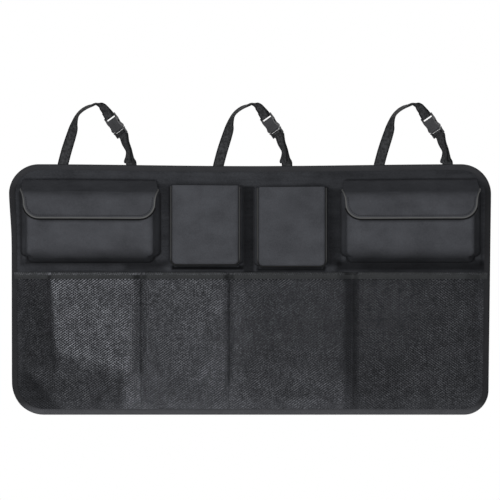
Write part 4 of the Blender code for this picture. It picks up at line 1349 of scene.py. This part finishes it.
def sew_pouch(label, side, shape, x_mid, seed):
    """A pouch with its turned hem and its stitches."""
    piece, rows = pouch(label + "_cloth_" + side, shape, x_mid, seed)
    # Painted shade: the gussets are darker toward the panel, and a flap pouch at its foot and under the flap's
    # edge.
    low, flapped = shape["front_bottom"] - 0.0055, shape["lean"] > 0

    def level(x, y, z):
        bright = mix(GUSSET_PAINTED_LIGHT, 1.0, smooth((PANEL_FRONT - y) / shape["depth"] * 3.0))
        if flapped:
            under = (1 - smooth((abs(x - x_mid) - 0.090) / 0.012)) * (1 - smooth((0.1312 - z) / 0.0065))
            bright *= mix(FOOT_PAINTED_LIGHT, 1.0, smooth((z - low) / 0.030)) * (1 - UNDER_FLAP_PAINTED_SHADOW * under)
        return bright

    paint_light(piece, level)
    hand_in(piece, "gusset", [label + "_" + side])
    line = mouth_line(rows)
    hem = turned_hem(label + "_hem_" + side, line, shape["top"])
    hand_in(hem, "pocket")
    sewn = stitches(label + "_stitches_" + side, pouch_seams(shape, x_mid))
    line_length(line)
    pouch_flat(shape)


class ORGANIZER_OT_flap_pouches(bpy.types.Operator):
    """Sew the two wide pouches that the flaps close"""

    bl_idname = "organizer.flap_pouches"
    bl_label = "Flap Pouches"

    def execute(self, context):
        for side, seed in (("left", 4.0), ("right", 11.0)):
            x_mid, drift, front = FLAP_POUCH_PLACES[side]
            sew_pouch("flap_pouch", side, {**FLAP_POUCH, "drift": drift, "front": front}, x_mid, seed)
        return {"FINISHED"}


def pouch_seams(shape, x_mid):
    """The stitch line round the pouch's foot."""
    y = PANEL_FRONT - GAP - POUCH_THICKNESS - 0.00012
    foot = shape["base"] + SEAM_ALLOWANCE * 0.5
    low = shape["base_bottom"] - SEAM_ALLOWANCE * 0.5
    heights = [mix(shape["top"] - 0.002, low, k / 40) for k in range(41)]
    left = [(x_mid - foot * outline_share(shape, z), y, z) for z in heights]
    line = left + [(2 * x_mid - px, py, pz) for px, py, pz in reversed(left)]
    return [(line, FRONT)]


class ORGANIZER_OT_box_pouches(bpy.types.Operator):
    """Sew the two open box pouches with their piped edges"""

    bl_idname = "organizer.box_pouches"
    bl_label = "Box Pouches"

    def execute(self, context):
        for side, seed in (("left", 31.0), ("right", 47.0)):
            x_mid, drift, top = BOX_POUCH_PLACES[side]
            bottom = top - BOX_POUCH["height"]
            shape = {**BOX_POUCH, "top": top, "drift": drift, "front_bottom": bottom,
                     "base_bottom": bottom - BOX_POUCH["base_drop"]}
            sew_pouch("box_pouch", side, shape, x_mid, seed)
            self.pipe(side, shape, x_mid + drift)
        return {"FINISHED"}

    def pipe(self, side, shape, x_mid):
        """The thin piping down both front edges and round the bottom."""
        set_back, radius = 0.0045, PIPING_RADIUS * 0.8
        half = shape["front"] + POUCH_THICKNESS / 2 + radius + 0.0010
        low = shape["front_bottom"] - POUCH_THICKNESS / 2 - radius * 0.6
        y = PANEL_FRONT - shape["depth"] + set_back
        turn = shape["outline"] + radius
        left = [(x_mid - half, y, mix(shape["top"] - 0.001, low + turn, k / 24)) for k in range(25)]
        left += [(px, y, pz) for px, pz in arc((x_mid - half + turn, low + turn), turn, 180, 270, 8)[1:]]
        left += [(mix(x_mid - half + turn, x_mid, k / 10), y, low) for k in range(1, 11)]
        right = [(2 * x_mid - px, py, pz) for px, py, pz in reversed(left[:-1])]
        name = "box_pouch_piping_" + side
        piece = link_piece(name, cord_mesh(name, [left + right], radius, sides=10))
        # Painted shade: the piping is darker along the bottom, where it lies in the pouch's shadow
        paint_light(piece, lambda x, y, z: mix(0.3, 1.0, smooth((z - low - turn * 0.5) / turn)))
        smooth_edges(piece, 60)
        hand_in(piece, "box_piping", ["box_piping_" + side])


# Flaps

FLAP = {
    "seam": 0.205, "hem": 0.008, "slope": 28.0, "bend": 0.022, "bottom": 0.1355, "seam_half": 0.1235,
    "ear_half": 0.1268, "ear": 0.187, "drop_half": 0.1200, "corner": 0.0265,
}
FLAP_FOLD_RADIUS = 0.0016
FLAP_STITCH_INSET = 0.0030
FLAP_STITCH_WIDTH = 0.0010

# How far a flap crowns out, sags on its slope and lifts near its free edge, and the depth of its creases
FLAP_CROWN = 0.0010
FLAP_SAG = 0.0016
FLAP_LIFT = 0.0012
FLAP_LIFT_HEIGHT = 0.022
FLAP_CREASE_OUT = 0.0008
FLAP_CREASE_UP = 0.0006

# How the piping's ends turn in, and the black cord under the flap's edge that is a painted shadow:
# its radius, its place beyond the piping and behind it, and how far up it shows
PIPING_TURN_IN = (0.0008, 0.0060, 0.0010)
PIPING_STEP = 0.0022
SHADOW_CORD_RADIUS = 0.0015
SHADOW_CORD_BEYOND = 0.0014
SHADOW_CORD_BEHIND = 0.0008
SHADOW_CORD_HEIGHT = 0.020
SHADOW_CORD_STEP = 0.0030

# The middle in X and the seed of the creases
FLAP_PLACES = {"left": (-0.2989, 3.0), "right": (0.3002, 17.0)}


def flap_drop_y():
    return PANEL_FRONT - FLAP_POUCH["depth"] - 3 * GAP - 2 * PATCH_THICKNESS - FLAP_THICKNESS / 2 - 0.0015


def flap_profile():
    """The flap's middle surface from the side: Y and Z, from its sewn hem over the pouch to its free edge."""
    hem_y = PANEL_FRONT - GAP - FLAP_THICKNESS / 2
    fold = (hem_y - FLAP_FOLD_RADIUS, FLAP["seam"] - FLAP_FOLD_RADIUS)
    slope = math.radians(FLAP["slope"])
    over = arc(fold, FLAP_FOLD_RADIUS, 0, 90 + FLAP["slope"], 7)
    bend_y = flap_drop_y() + FLAP["bend"]
    start_y = bend_y - FLAP["bend"] * math.sin(slope)
    start_z = over[-1][1] - (over[-1][0] - start_y) * math.tan(slope)
    centre = (bend_y, start_z - FLAP["bend"] * math.cos(slope))
    turn = arc(centre, FLAP["bend"], 90 + FLAP["slope"], 180, 10)
    straight = [tuple(Vector(over[-1]).lerp(Vector(turn[0]), k / 12)) for k in range(1, 12)]
    corner_z = FLAP["bottom"] + FLAP["corner"]
    drop = [(turn[-1][0], mix(turn[-1][1], corner_z, k / 8)) for k in range(1, 9)]
    falls = [FLAP["corner"] * math.sin(math.radians(7.5 * k)) for k in range(1, 13)]
    corner = [(turn[-1][0], corner_z - fall) for fall in falls]
    hem = [(hem_y, FLAP["seam"] - FLAP["hem"]), (hem_y, FLAP["seam"] - 0.004)]
    return [*hem, *over, *straight, *turn, *drop, *corner]


def flap_half(z):
    """Half the flap's width at a height: widest at its ears, rounded at its lower corners."""
    if z >= FLAP["ear"]:
        share = (z - FLAP["ear"]) / (FLAP["seam"] - FLAP["ear"])
        return mix(FLAP["ear_half"], FLAP["seam_half"], smooth(share))
    corner_z = FLAP["bottom"] + FLAP["corner"]
    share = min(1.0, (FLAP["ear"] - z) / (FLAP["ear"] - corner_z))
    half = mix(FLAP["ear_half"], FLAP["drop_half"], 1 - (1 - share) ** 2)
    below = corner_z - z
    if below > 0:
        half -= FLAP["corner"] - math.sqrt(max(0.0, FLAP["corner"] ** 2 - below ** 2))
    return half


def flap_place(x, y, z, half, seed):
    """Soft crown, drawn ears and creases of the hanging flap."""
    share = x / max(half, 1e-6)
    over = smooth((PANEL_FRONT - 0.004 - y) / 0.020)
    hang = smooth((FLAP["seam"] - 0.012 - z) / 0.030)
    crown = FLAP_CROWN * (1 - share ** 2) * over
    crease = noise.noise((x * 21.0 + seed, z * 30.0, seed))
    crease += 0.6 * noise.noise((x * 55.0, z * 24.0 + seed, seed))
    pull = noise.noise((x * 9.0 + seed, 4.0, z * 12.0))
    sag = FLAP_SAG * (1 - share ** 2) * over * (1 - hang)
    # The free edge lifts off the pouch a little between its corners.
    low = smooth((FLAP["bottom"] + FLAP_LIFT_HEIGHT - z) / FLAP_LIFT_HEIGHT)
    out = crown + FLAP_CREASE_OUT * crease * over + FLAP_LIFT * low * (0.5 + 0.5 * pull)
    return y - out, z - sag + FLAP_CREASE_UP * crease * over * (1 - hang)


class ORGANIZER_OT_flaps(bpy.types.Operator):
    """Drape the two flaps over their pouches, with piping and top stitching"""

    bl_idname = "organizer.flaps"
    bl_label = "Flaps"

    def execute(self, context):
        profile = flap_profile()
        for side, (x_mid, seed) in FLAP_PLACES.items():
            rows = []
            for y, z in profile:
                half = flap_half(z)
                row = []
                for k in range(73):
                    x = mix(-half, half, k / 72)
                    py, pz = flap_place(x, y, z, half, seed)
                    row.append((x_mid + x, py, pz))
                rows.append(row)
            piece = cloth_piece("flap_cloth_" + side, rows, FLAP_THICKNESS)
            hand_in(piece, "pocket", ["flap_" + side])
            piping, shadow_cord = self.pipe(side, x_mid, profile, seed)
            seams = self.seams(x_mid, profile, seed)
            sewn = stitches("flap_stitches_" + side, seams, width=FLAP_STITCH_WIDTH)
            line_length(profile)
        return {"FINISHED"}

    def edge_line(self, x_mid, profile, seed, grow):
        """The flap's free edge from ear to ear, moved out by grow."""
        corner_z = FLAP["bottom"] + FLAP["corner"]
        left = []
        for y, z in profile:
            if corner_z < z < FLAP["ear"] + 0.001 and y < flap_drop_y() + FLAP["bend"]:
                half = flap_half(z)
                py, pz = flap_place(-half, y, z, half, seed)
                left.append(Vector((-half - grow, py, pz)))
        centre = (-FLAP["drop_half"] + FLAP["corner"], corner_z)
        around = arc(centre, FLAP["corner"] + grow, 180, 270, 10)
        flat = [(mix(around[-1][0], -around[-1][0], k / 30), around[-1][1]) for k in range(1, 30)]
        lower = around + flat + [(-px, pz) for px, pz in reversed(around)]
        bottom = []
        for px, pz in lower:
            py, _ = flap_place(px, flap_drop_y(), max(pz, FLAP["bottom"]), FLAP["drop_half"], seed)
            bottom.append(Vector((px, py, pz)))
        right = [Vector((-place.x, place.y, place.z)) for place in reversed(left)]
        return [Vector((x_mid + place.x, place.y, place.z)) for place in left + bottom + right]

    def pipe(self, side, x_mid, profile, seed):
        line = self.edge_line(x_mid, profile, seed, PIPING_RADIUS + 0.0001)
        # Each end of the piping turns in under the flap's ear.
        inward, back, up = PIPING_TURN_IN
        line = [line[0] + Vector((inward, back, up)), *line, line[-1] + Vector((-inward, back, up))]
        name = "flap_piping_cord_" + side
        piece = link_piece(name, cord_mesh(name, [resampled(line, PIPING_STEP)], PIPING_RADIUS, sides=10))
        smooth_edges(piece, 60)
        hand_in(piece, "piping", ["flap_piping_" + side])
        # A black cord under the piping is a painted shadow of the flap's edge.
        shadow_cord = self.edge_line(x_mid, profile, seed, 2 * PIPING_RADIUS + SHADOW_CORD_BEYOND)
        shadow_cord_top = FLAP["bottom"] + SHADOW_CORD_HEIGHT
        shadow_cord = [place + BACK * SHADOW_CORD_BEHIND for place in shadow_cord if place.z < shadow_cord_top]
        name = "flap_shadow_cord_" + side
        edge = link_piece(name, cord_mesh(name, [resampled(shadow_cord, SHADOW_CORD_STEP)], SHADOW_CORD_RADIUS, sides=8))
        smooth_edges(edge, 60)
        hand_in(edge, "shadow_cord")
        return piece, edge

    def seams(self, x_mid, profile, seed):
        raised = FLAP_THICKNESS / 2 + 0.00014
        inner = self.edge_line(x_mid, profile, seed, -FLAP_STITCH_INSET)
        seams = [([p + FRONT * raised for p in inner if p.y < flap_drop_y() + 0.003], FRONT)]
        slope = math.radians(FLAP["slope"])
        facing = Vector((0, -math.sin(slope), math.cos(slope)))
        line = []
        for k in range(61):
            half = FLAP["seam_half"] - 0.002
            x = mix(-half, half, k / 60)
            z = FLAP["seam"] - 0.0033 * math.tan(slope)
            py, pz = flap_place(x, PANEL_FRONT - 0.0060, z, half, seed)
            line.append(Vector((x_mid + x, py, pz)) + facing * raised)
        seams.append((line, facing))
        return seams


class ORGANIZER_OT_closures(bpy.types.Operator):
    """Model the hook and loop patches under the flaps"""

    bl_idname = "organizer.closures"
    bl_label = "Flap Closures"

    def execute(self, context):
        for side in ("left", "right"):
            for node, look in (("hook_patch_", "hooks"), ("loop_patch_", "loops")):
                low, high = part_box(node + side)
                shift = Vector((0, -0.0020, 0))
                piece = strip_block(node.replace("patch", "pile_patch") + side, low + shift, high + shift)
                hand_in(piece, look, [node + side])
        return {"FINISHED"}


# Straps and buckles

# The socket's bar seen from the loop's middle at the panel's top, and how the buckle leans and turns there
BUCKLE_FROM_LOOP = Vector((0.0233, -0.0140, 0.0896))
BUCKLE_LEAN_DEG = 34.5
BUCKLE_TURN_DEG = 150.0
UPPER_BAR_RADIUS = 0.0016
LADDER_BAR_RADIUS = 0.0011
LADDER_BARS = (0.0363, 0.0413)
STRAP_FOLD_END = -0.0125
STRAP_CUP = 0.0036
TAIL_SHIFT = 0.0066
TAIL_STANDOFF = 0.0010
TAIL_END_Z = 0.0045
TAB_Y = PANEL_BACK + GAP + BINDING_THICKNESS + GAP + WEBBING_THICKNESS / 2

# How the long strap is cupped where it turns over, and how the loose tail's end is rounded
STRAP_SHARES = (-1, -0.96, -0.75, -0.5, -0.25, 0, 0.25, 0.5, 0.75, 0.96, 1)
CUP_X = -0.0026
CUP_REACH = 0.009
CUP_HEIGHT = 0.08
TAIL_ROUNDING = 0.0080
TAIL_END_SHARE = 0.30

# The turn over the ladder's upper bar is loose by this factor and fills the slot above it.
LOOSE_TURN = 1.20

ROUTE_STEPS = 8

# The box stitch on a strap's tab: half its width, and its top and bottom below the panel's top
TAB_BOX_HALF = 0.0078
TAB_BOX_TOP = 0.0045
TAB_BOX_BOTTOM = 0.0235

# The two rows across the long strap's folded end, along the buckle, and half their length
FOLD_STITCH_PLACES = (-0.0080, -0.0110)
FOLD_STITCH_HALF = 0.0085

# Stations of the straps: X from the loop's middle, Y, Z from the panel's top, and the width's turn in degrees
LONG_STRAP_ROUTE = (
    (-0.0646, -0.0007, 0.0000, 0.0),
    (-0.0626, -0.0012, 0.0080, 2.0),
    (-0.0568, -0.0050, 0.0289, 6.0),
    (-0.0461, -0.0100, 0.0627, 27.0),
    (-0.0430, -0.0115, 0.0765, 52.0),
    (-0.0381, -0.0130, 0.0905, 70.0),
    (-0.0312, -0.0140, 0.0990, 72.0),
    (-0.0222, -0.0140, 0.1055, 72.0),
    (-0.0119, -0.0140, 0.1103, 76.0),
    (-0.0026, -0.0140, 0.1132, 90.0),
    (0.0064, -0.0140, 0.1112, 120.0),
    (0.0110, -0.0140, 0.1070, 138.0),
)
SHORT_STRAP_ROUTE = (
    (0.0537, -0.0108, 0.0410, 130.0),
    (0.0598, -0.0100, 0.0280, 116.0),
    (0.0617, -0.0085, 0.0185, 119.0),
    (0.0624, -0.0055, 0.0105, 132.0),
    (0.0631, -0.0012, 0.0038, 166.0),
    (0.0634, -0.0007, -0.0030, 180.0),
)


def catmull_rom(stations, steps):
    """A smooth curve through stations of any number of values, steps to each span."""
    ends = [stations[0], *stations, stations[-1]]
    found = []
    for k in range(1, len(ends) - 2):
        before, start, end, after = ends[k - 1 : k + 3]
        for step in range(steps):
            t = step / steps
            found.append(tuple(
                0.5 * (2 * b + (c - a) * t + (2 * a - 5 * b + 4 * c - d) * t * t
                       + (3 * b - a - 3 * c + d) * t ** 3)
                for a, b, c, d in zip(before, start, end, after)
            ))
    found.append(tuple(stations[-1]))
    return found


def strap_side(along, turn_deg):
    """The direction of a strap's width: in the panel's plane at 0 degrees, square to it at 90."""
    flat = along.cross(BACK).normalized()
    turn = math.radians(turn_deg)
    return (flat * math.cos(turn) + BACK * math.sin(turn)).normalized()


def buckle_frame():
    """The matrix of a buckle on a loop whose centre is at X nought."""
    lean = math.radians(BUCKLE_LEAN_DEG)
    along = Vector((math.sin(lean), 0, -math.cos(lean)))
    across = strap_side(along, BUCKLE_TURN_DEG)
    back = (-along).cross(across)
    turn = Matrix((across, back, -along)).transposed().to_4x4()
    return Matrix.Translation(Vector((0, 0, PANEL_TOP)) + BUCKLE_FROM_LOOP) @ turn


def route_rows(route, lead=None):
    """Places and width directions along a route. A lead is the direction that it sets out in."""
    samples = catmull_rom(route, ROUTE_STEPS)
    places = [Vector((x, y, PANEL_TOP + z)) for x, y, z, _ in samples]
    found = []
    for k, sample in enumerate(samples):
        along = places[min(k + 2, len(places) - 1)] - places[max(k - 2, 0)]
        along.y = 0
        along.normalize()
        if lead:
            along = lead.lerp(along, smooth(k / (7 * ROUTE_STEPS / 3)))
        found.append((places[k], strap_side(along.normalized(), sample[3])))
    return found


def buckle_rows(buckle, pairs):
    across = buckle.col[0].to_3d()
    return [(buckle @ Vector((0, -front, -along)), across) for along, front in pairs]


def long_strap_rows():
    """From the tab behind the panel, over the loop and round the socket's bar, with its end folded back."""
    buckle = buckle_frame()
    tab = (LONG_STRAP_ROUTE[0][0] - STRAP_TAB * 0.25, TAB_Y, -STRAP_TAB, 0.0)
    rows = route_rows((tab, *LONG_STRAP_ROUTE))
    wrap = UPPER_BAR_RADIUS + GAP + WEBBING_THICKNESS / 2
    layer = (WEBBING_THICKNESS + GAP) / 2
    down = [(-0.0085, layer + 0.0006), (-0.0060, wrap * 0.75), (-0.0035, wrap - 0.0001)]
    around = [(along, front) for front, along in arc((0, 0), wrap, 0, 180, 14)]
    back = [(along, -front) for along, front in reversed(down)] + [(STRAP_FOLD_END, -layer)]
    return rows + buckle_rows(buckle, down + around + back)


def short_strap_rows():
    """From the tab up to the ladder, round its upper bar and back down in front as a loose tail."""
    buckle = buckle_frame()
    first, second = LADDER_BARS
    wrap = LADDER_BAR_RADIUS + GAP + WEBBING_THICKNESS / 2
    load = wrap + WEBBING_THICKNESS + GAP
    cross = math.degrees(math.acos(2 * wrap / (second - first)))
    leave = [(second + wrap * math.sin(math.radians(a)), wrap * math.cos(math.radians(a)))
             for a in (-(90 - cross) * k / 4 for k in range(5))]
    under = [(first + wrap * math.cos(a) * (LOOSE_TURN if a > math.pi / 2 else 1.0), -wrap * math.sin(a))
             for a in (math.radians(cross + (180 - cross) * k / 10) for k in range(11))]
    over = [(first + wrap * math.cos(a) * LOOSE_TURN, load - wrap + wrap * math.sin(a))
            for a in (math.radians(180 - 90 * k / 8) for k in range(9))]
    past = second + 0.004
    ladder = [(past, wrap), *leave, *under, *over, (second, load), (past, load)]
    end = (SHORT_STRAP_ROUTE[-1][0] + 0.0018, TAB_Y, -STRAP_TAB, 180.0)
    base = buckle @ Vector((0, -load, -past)) - UP * PANEL_TOP
    lead = -buckle.col[2].to_3d()
    down = route_rows(((*base, BUCKLE_TURN_DEG), *SHORT_STRAP_ROUTE, end), lead)
    tail = [(place, across) for place, across in down if place.z - PANEL_TOP > TAIL_END_Z]
    hang = []
    for k, (place, across) in enumerate(tail):
        share = smooth(k / (len(tail) - 1))
        along = tail[min(k + 1, len(tail) - 1)][0] - tail[max(k - 1, 0)][0]
        toward_ladder = across.cross(along).normalized()
        reach = WEBBING_THICKNESS + GAP + TAIL_STANDOFF * share
        hang.append((place + toward_ladder * reach + across * TAIL_SHIFT * share, across))
    return list(reversed(hang[1:])) + buckle_rows(buckle, ladder) + down[1:]


def strap_mesh_rows(rows, rounded_end=False):
    """Points across a strap, cupped where it turns over at the loop's top, with a loose end rounded."""
    found, run = [], 0.0
    for k, (place, side) in enumerate(rows):
        before, after = rows[max(k - 1, 0)][0], rows[min(k + 1, len(rows) - 1)][0]
        run += (place - before).length
        near_end = 1 - min(1.0, run / TAIL_ROUNDING) if rounded_end else 0.0
        full = math.sqrt(1 - near_end ** 2)
        half = WEBBING_WIDTH / 2 * (TAIL_END_SHARE + (1 - TAIL_END_SHARE) * full)
        out = side.cross(after - before).normalized()
        if out.z < 0:
            out = -out
        at_turn = math.exp(-((place.x - CUP_X) / CUP_REACH) ** 2)
        cup = STRAP_CUP * at_turn * smooth((place.z - PANEL_TOP - CUP_HEIGHT) / 0.02)
        found.append([place + side * half * share + out * cup * (0.5 - share ** 2) for share in STRAP_SHARES])
    return found


def moved_copy(piece, name, shift):
    """A copy with its own mesh, moved along X in its mesh."""
    mesh = piece.data.copy()
    mesh.name = name
    mesh.transform(Matrix.Translation((shift, 0, 0)))
    return link_piece(name, mesh)


class ORGANIZER_OT_straps(bpy.types.Operator):
    """Run the webbing of the three loops through their buckles"""

    bl_idname = "organizer.straps"
    bl_label = "Webbing Loops"

    def execute(self, context):
        box = self.box_stitches()
        for kind, rows in (("long", long_strap_rows()), ("short", short_strap_rows())):
            across = strap_mesh_rows(rows, rounded_end=kind == "short")
            model = cloth_piece("strap_model", across, WEBBING_THICKNESS, rounded=0.00025)
            length = line_length([place for place, _ in rows])
            for side, x in LOOP_CENTRES.items():
                piece = moved_copy(model, "strap_webbing_%s_%s" % (kind, side), x)
                smooth_edges(piece)
                hand_in(piece, "webbing", ["strap_%s_%s" % (kind, side)], settled=False)
            bpy.data.objects.remove(model)
        for side, x in LOOP_CENTRES.items():
            shift = Vector((x, 0, 0))
            seams = [([Vector(point) + shift for point in points], facing) for points, facing in box]
            stitches("strap_stitches_" + side, seams, settled=False)
        return {"FINISHED"}

    def box_stitches(self):
        """A box with a cross on each strap's tab, and two rows across the folded end at the socket."""
        seams = []
        y = TAB_Y + WEBBING_THICKNESS / 2 + 0.0001
        for x, drift in ((LONG_STRAP_ROUTE[0][0], -0.25), (SHORT_STRAP_ROUTE[-1][0], 0.075)):
            half, high, low = TAB_BOX_HALF, PANEL_TOP - TAB_BOX_TOP, PANEL_TOP - TAB_BOX_BOTTOM
            corners = [Vector((x + s * half + drift * (PANEL_TOP - z), y, z)) for s, z in
                       ((-1, high), (1, high), (1, low), (-1, low), (-1, high), (1, low))]
            seams.append((corners, BACK))
            seams.append(([corners[1], corners[3]], BACK))
        buckle = buckle_frame()
        across, back = buckle.col[0].to_3d(), buckle.col[1].to_3d()
        layer = (WEBBING_THICKNESS + GAP) / 2 + WEBBING_THICKNESS / 2 + 0.0001
        reach = across * FOLD_STITCH_HALF
        for along in FOLD_STITCH_PLACES:
            middle = buckle @ Vector((0, layer, -along))
            seams.append(([middle - reach, middle + reach], back))
        return seams


class ORGANIZER_OT_buckles(bpy.types.Operator):
    """Give the moulded buckle halves their finish"""

    bl_idname = "organizer.buckles"
    bl_label = "Buckles"

    def execute(self, context):
        for side in LOOP_CENTRES:
            for half in ("buckle_socket_", "buckle_latch_"):
                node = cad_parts[half + side]
                for slot in node.material_slots:
                    slot.material = material("buckle")
        return {"FINISHED"}


# Stage


WHITE = (1.0, 1.0, 1.0)
ROOM_LIGHT = (0.03, 0.03, 0.03)
PICTURE_WIDTH = 0.9335
PICTURE_MIDDLE = (0.0, PANEL_FRONT - 0.004, 0.0737)
FLOOR_SIZE = 3.6
FLOOR_Z = -1.30
FLOOR_GREYS = ((0.80, 0.80, 0.80), (0.86, 0.86, 0.86))

# Each lamp's name, place, width and height in metres, and power in watts
LAMPS = (
    ("front_light", (-0.45, -3.0, 0.12), (4.2, 1.2), 146.0),
    ("back_light", (0.4, 2.4, 0.9), (2.6, 1.8), 40.0),
)
LAMPS_AIM = (0, 0, 0.03)


class ORGANIZER_OT_stage(bpy.types.Operator):
    """Set up the floor, the soft lights and the camera"""

    bl_idname = "organizer.stage"
    bl_label = "Stage"

    def execute(self, context):
        self.floor()
        self.world(context)
        for lamp in LAMPS:
            self.light(*lamp)
        self.camera(context)
        return {"FINISHED"}

    def floor(self):
        deselect()
        bpy.ops.mesh.primitive_plane_add(size=FLOOR_SIZE, location=(0, 0, FLOOR_Z))
        plane = bpy.context.object
        plane.name = "floor"
        finish = Finish("pale_floor", Roughness=0.85)
        speckle = finish.noise(60.0, 3.0)
        finish.set("Base Color", speckle.tint(*FLOOR_GREYS))
        finish.set("Roughness", speckle * 0.1 + 0.8)
        plane.data.materials.append(finish.material)

    def world(self, context):
        world = bpy.data.worlds.new("soft_room")
        context.scene.world = world
        world.use_nodes = True
        tree = world.node_tree
        background = tree.nodes["Background"]
        background.inputs["Strength"].default_value = 1.0
        rays = tree.nodes.new("ShaderNodeLightPath")
        seen = Socket(tree, rays.outputs["Is Camera Ray"]) + Socket(tree, rays.outputs["Is Transmission Ray"])
        seen = seen + Socket(tree, rays.outputs["Is Glossy Ray"])
        shown = seen.node("ShaderNodeClamp", Value=seen)
        level = shown.tint(ROOM_LIGHT, WHITE)
        tree.links.new(level.link, background.inputs["Color"])

    def light(self, name, place, size, power):
        data = bpy.data.lights.new(name, "AREA")
        data.shape = "RECTANGLE"
        data.size, data.size_y = size
        data.energy = power
        lamp = bpy.data.objects.new(name, data)
        bpy.context.scene.collection.objects.link(lamp)
        lamp.location = place
        aim = Vector(LAMPS_AIM) - Vector(place)
        lamp.rotation_euler = aim.to_track_quat("-Z", "Y").to_euler()
        lamp.visible_camera = False

    def camera(self, context):
        """The photograph's view: straight on, from far enough to flatten the pockets."""
        data = bpy.data.cameras.new("camera")
        data.lens = 400
        data.sensor_width = 36
        camera = bpy.data.objects.new("camera", data)
        context.scene.collection.objects.link(camera)
        distance = PICTURE_WIDTH * data.lens / data.sensor_width
        x, y, z = PICTURE_MIDDLE
        camera.location = (x, y - distance, z)
        camera.rotation_euler = (math.pi / 2, 0, 0)
        context.scene.camera = camera
        context.scene.view_settings.view_transform = "Standard"


class ORGANIZER_PT_sidebar(bpy.types.Panel):
    """Lists the organizer's pieces, sizes and colours"""

    bl_idname = "ORGANIZER_PT_sidebar"
    bl_label = "Trunk Organizer"
    bl_space_type = "VIEW_3D"
    bl_region_type = "UI"
    bl_category = "Organizer"

    def draw(self, context):
        column = self.layout.column(align=True)
        for operator in OPERATORS:
            column.operator(operator.bl_idname)
        for group in (context.scene.organizer_sizes, context.scene.organizer_colours):
            column = self.layout.column(align=True)
            for name in group.__annotations__:
                column.prop(group, name)


OPERATORS = (
    ORGANIZER_OT_panel,
    ORGANIZER_OT_binding,
    ORGANIZER_OT_hook_strips,
    ORGANIZER_OT_net_pockets,
    ORGANIZER_OT_net_tape,
    ORGANIZER_OT_flap_pouches,
    ORGANIZER_OT_box_pouches,
    ORGANIZER_OT_flaps,
    ORGANIZER_OT_closures,
    ORGANIZER_OT_straps,
    ORGANIZER_OT_buckles,
    ORGANIZER_OT_stage,
)
CLASSES = (OrganizerColours, OrganizerSizes, *OPERATORS, ORGANIZER_PT_sidebar)


def register():
    for kind in CLASSES:
        bpy.utils.register_class(kind)
    bpy.types.Scene.organizer_colours = PointerProperty(type=OrganizerColours)
    bpy.types.Scene.organizer_sizes = PointerProperty(type=OrganizerSizes)


def unregister():
    del bpy.types.Scene.organizer_sizes
    del bpy.types.Scene.organizer_colours
    for kind in reversed(CLASSES):
        bpy.utils.unregister_class(kind)


def main():
    register()
    for operator in OPERATORS:
        group, name = operator.bl_idname.split(".")
        getattr(getattr(bpy.ops, group), name)()


if __name__ == "__main__":
    main()
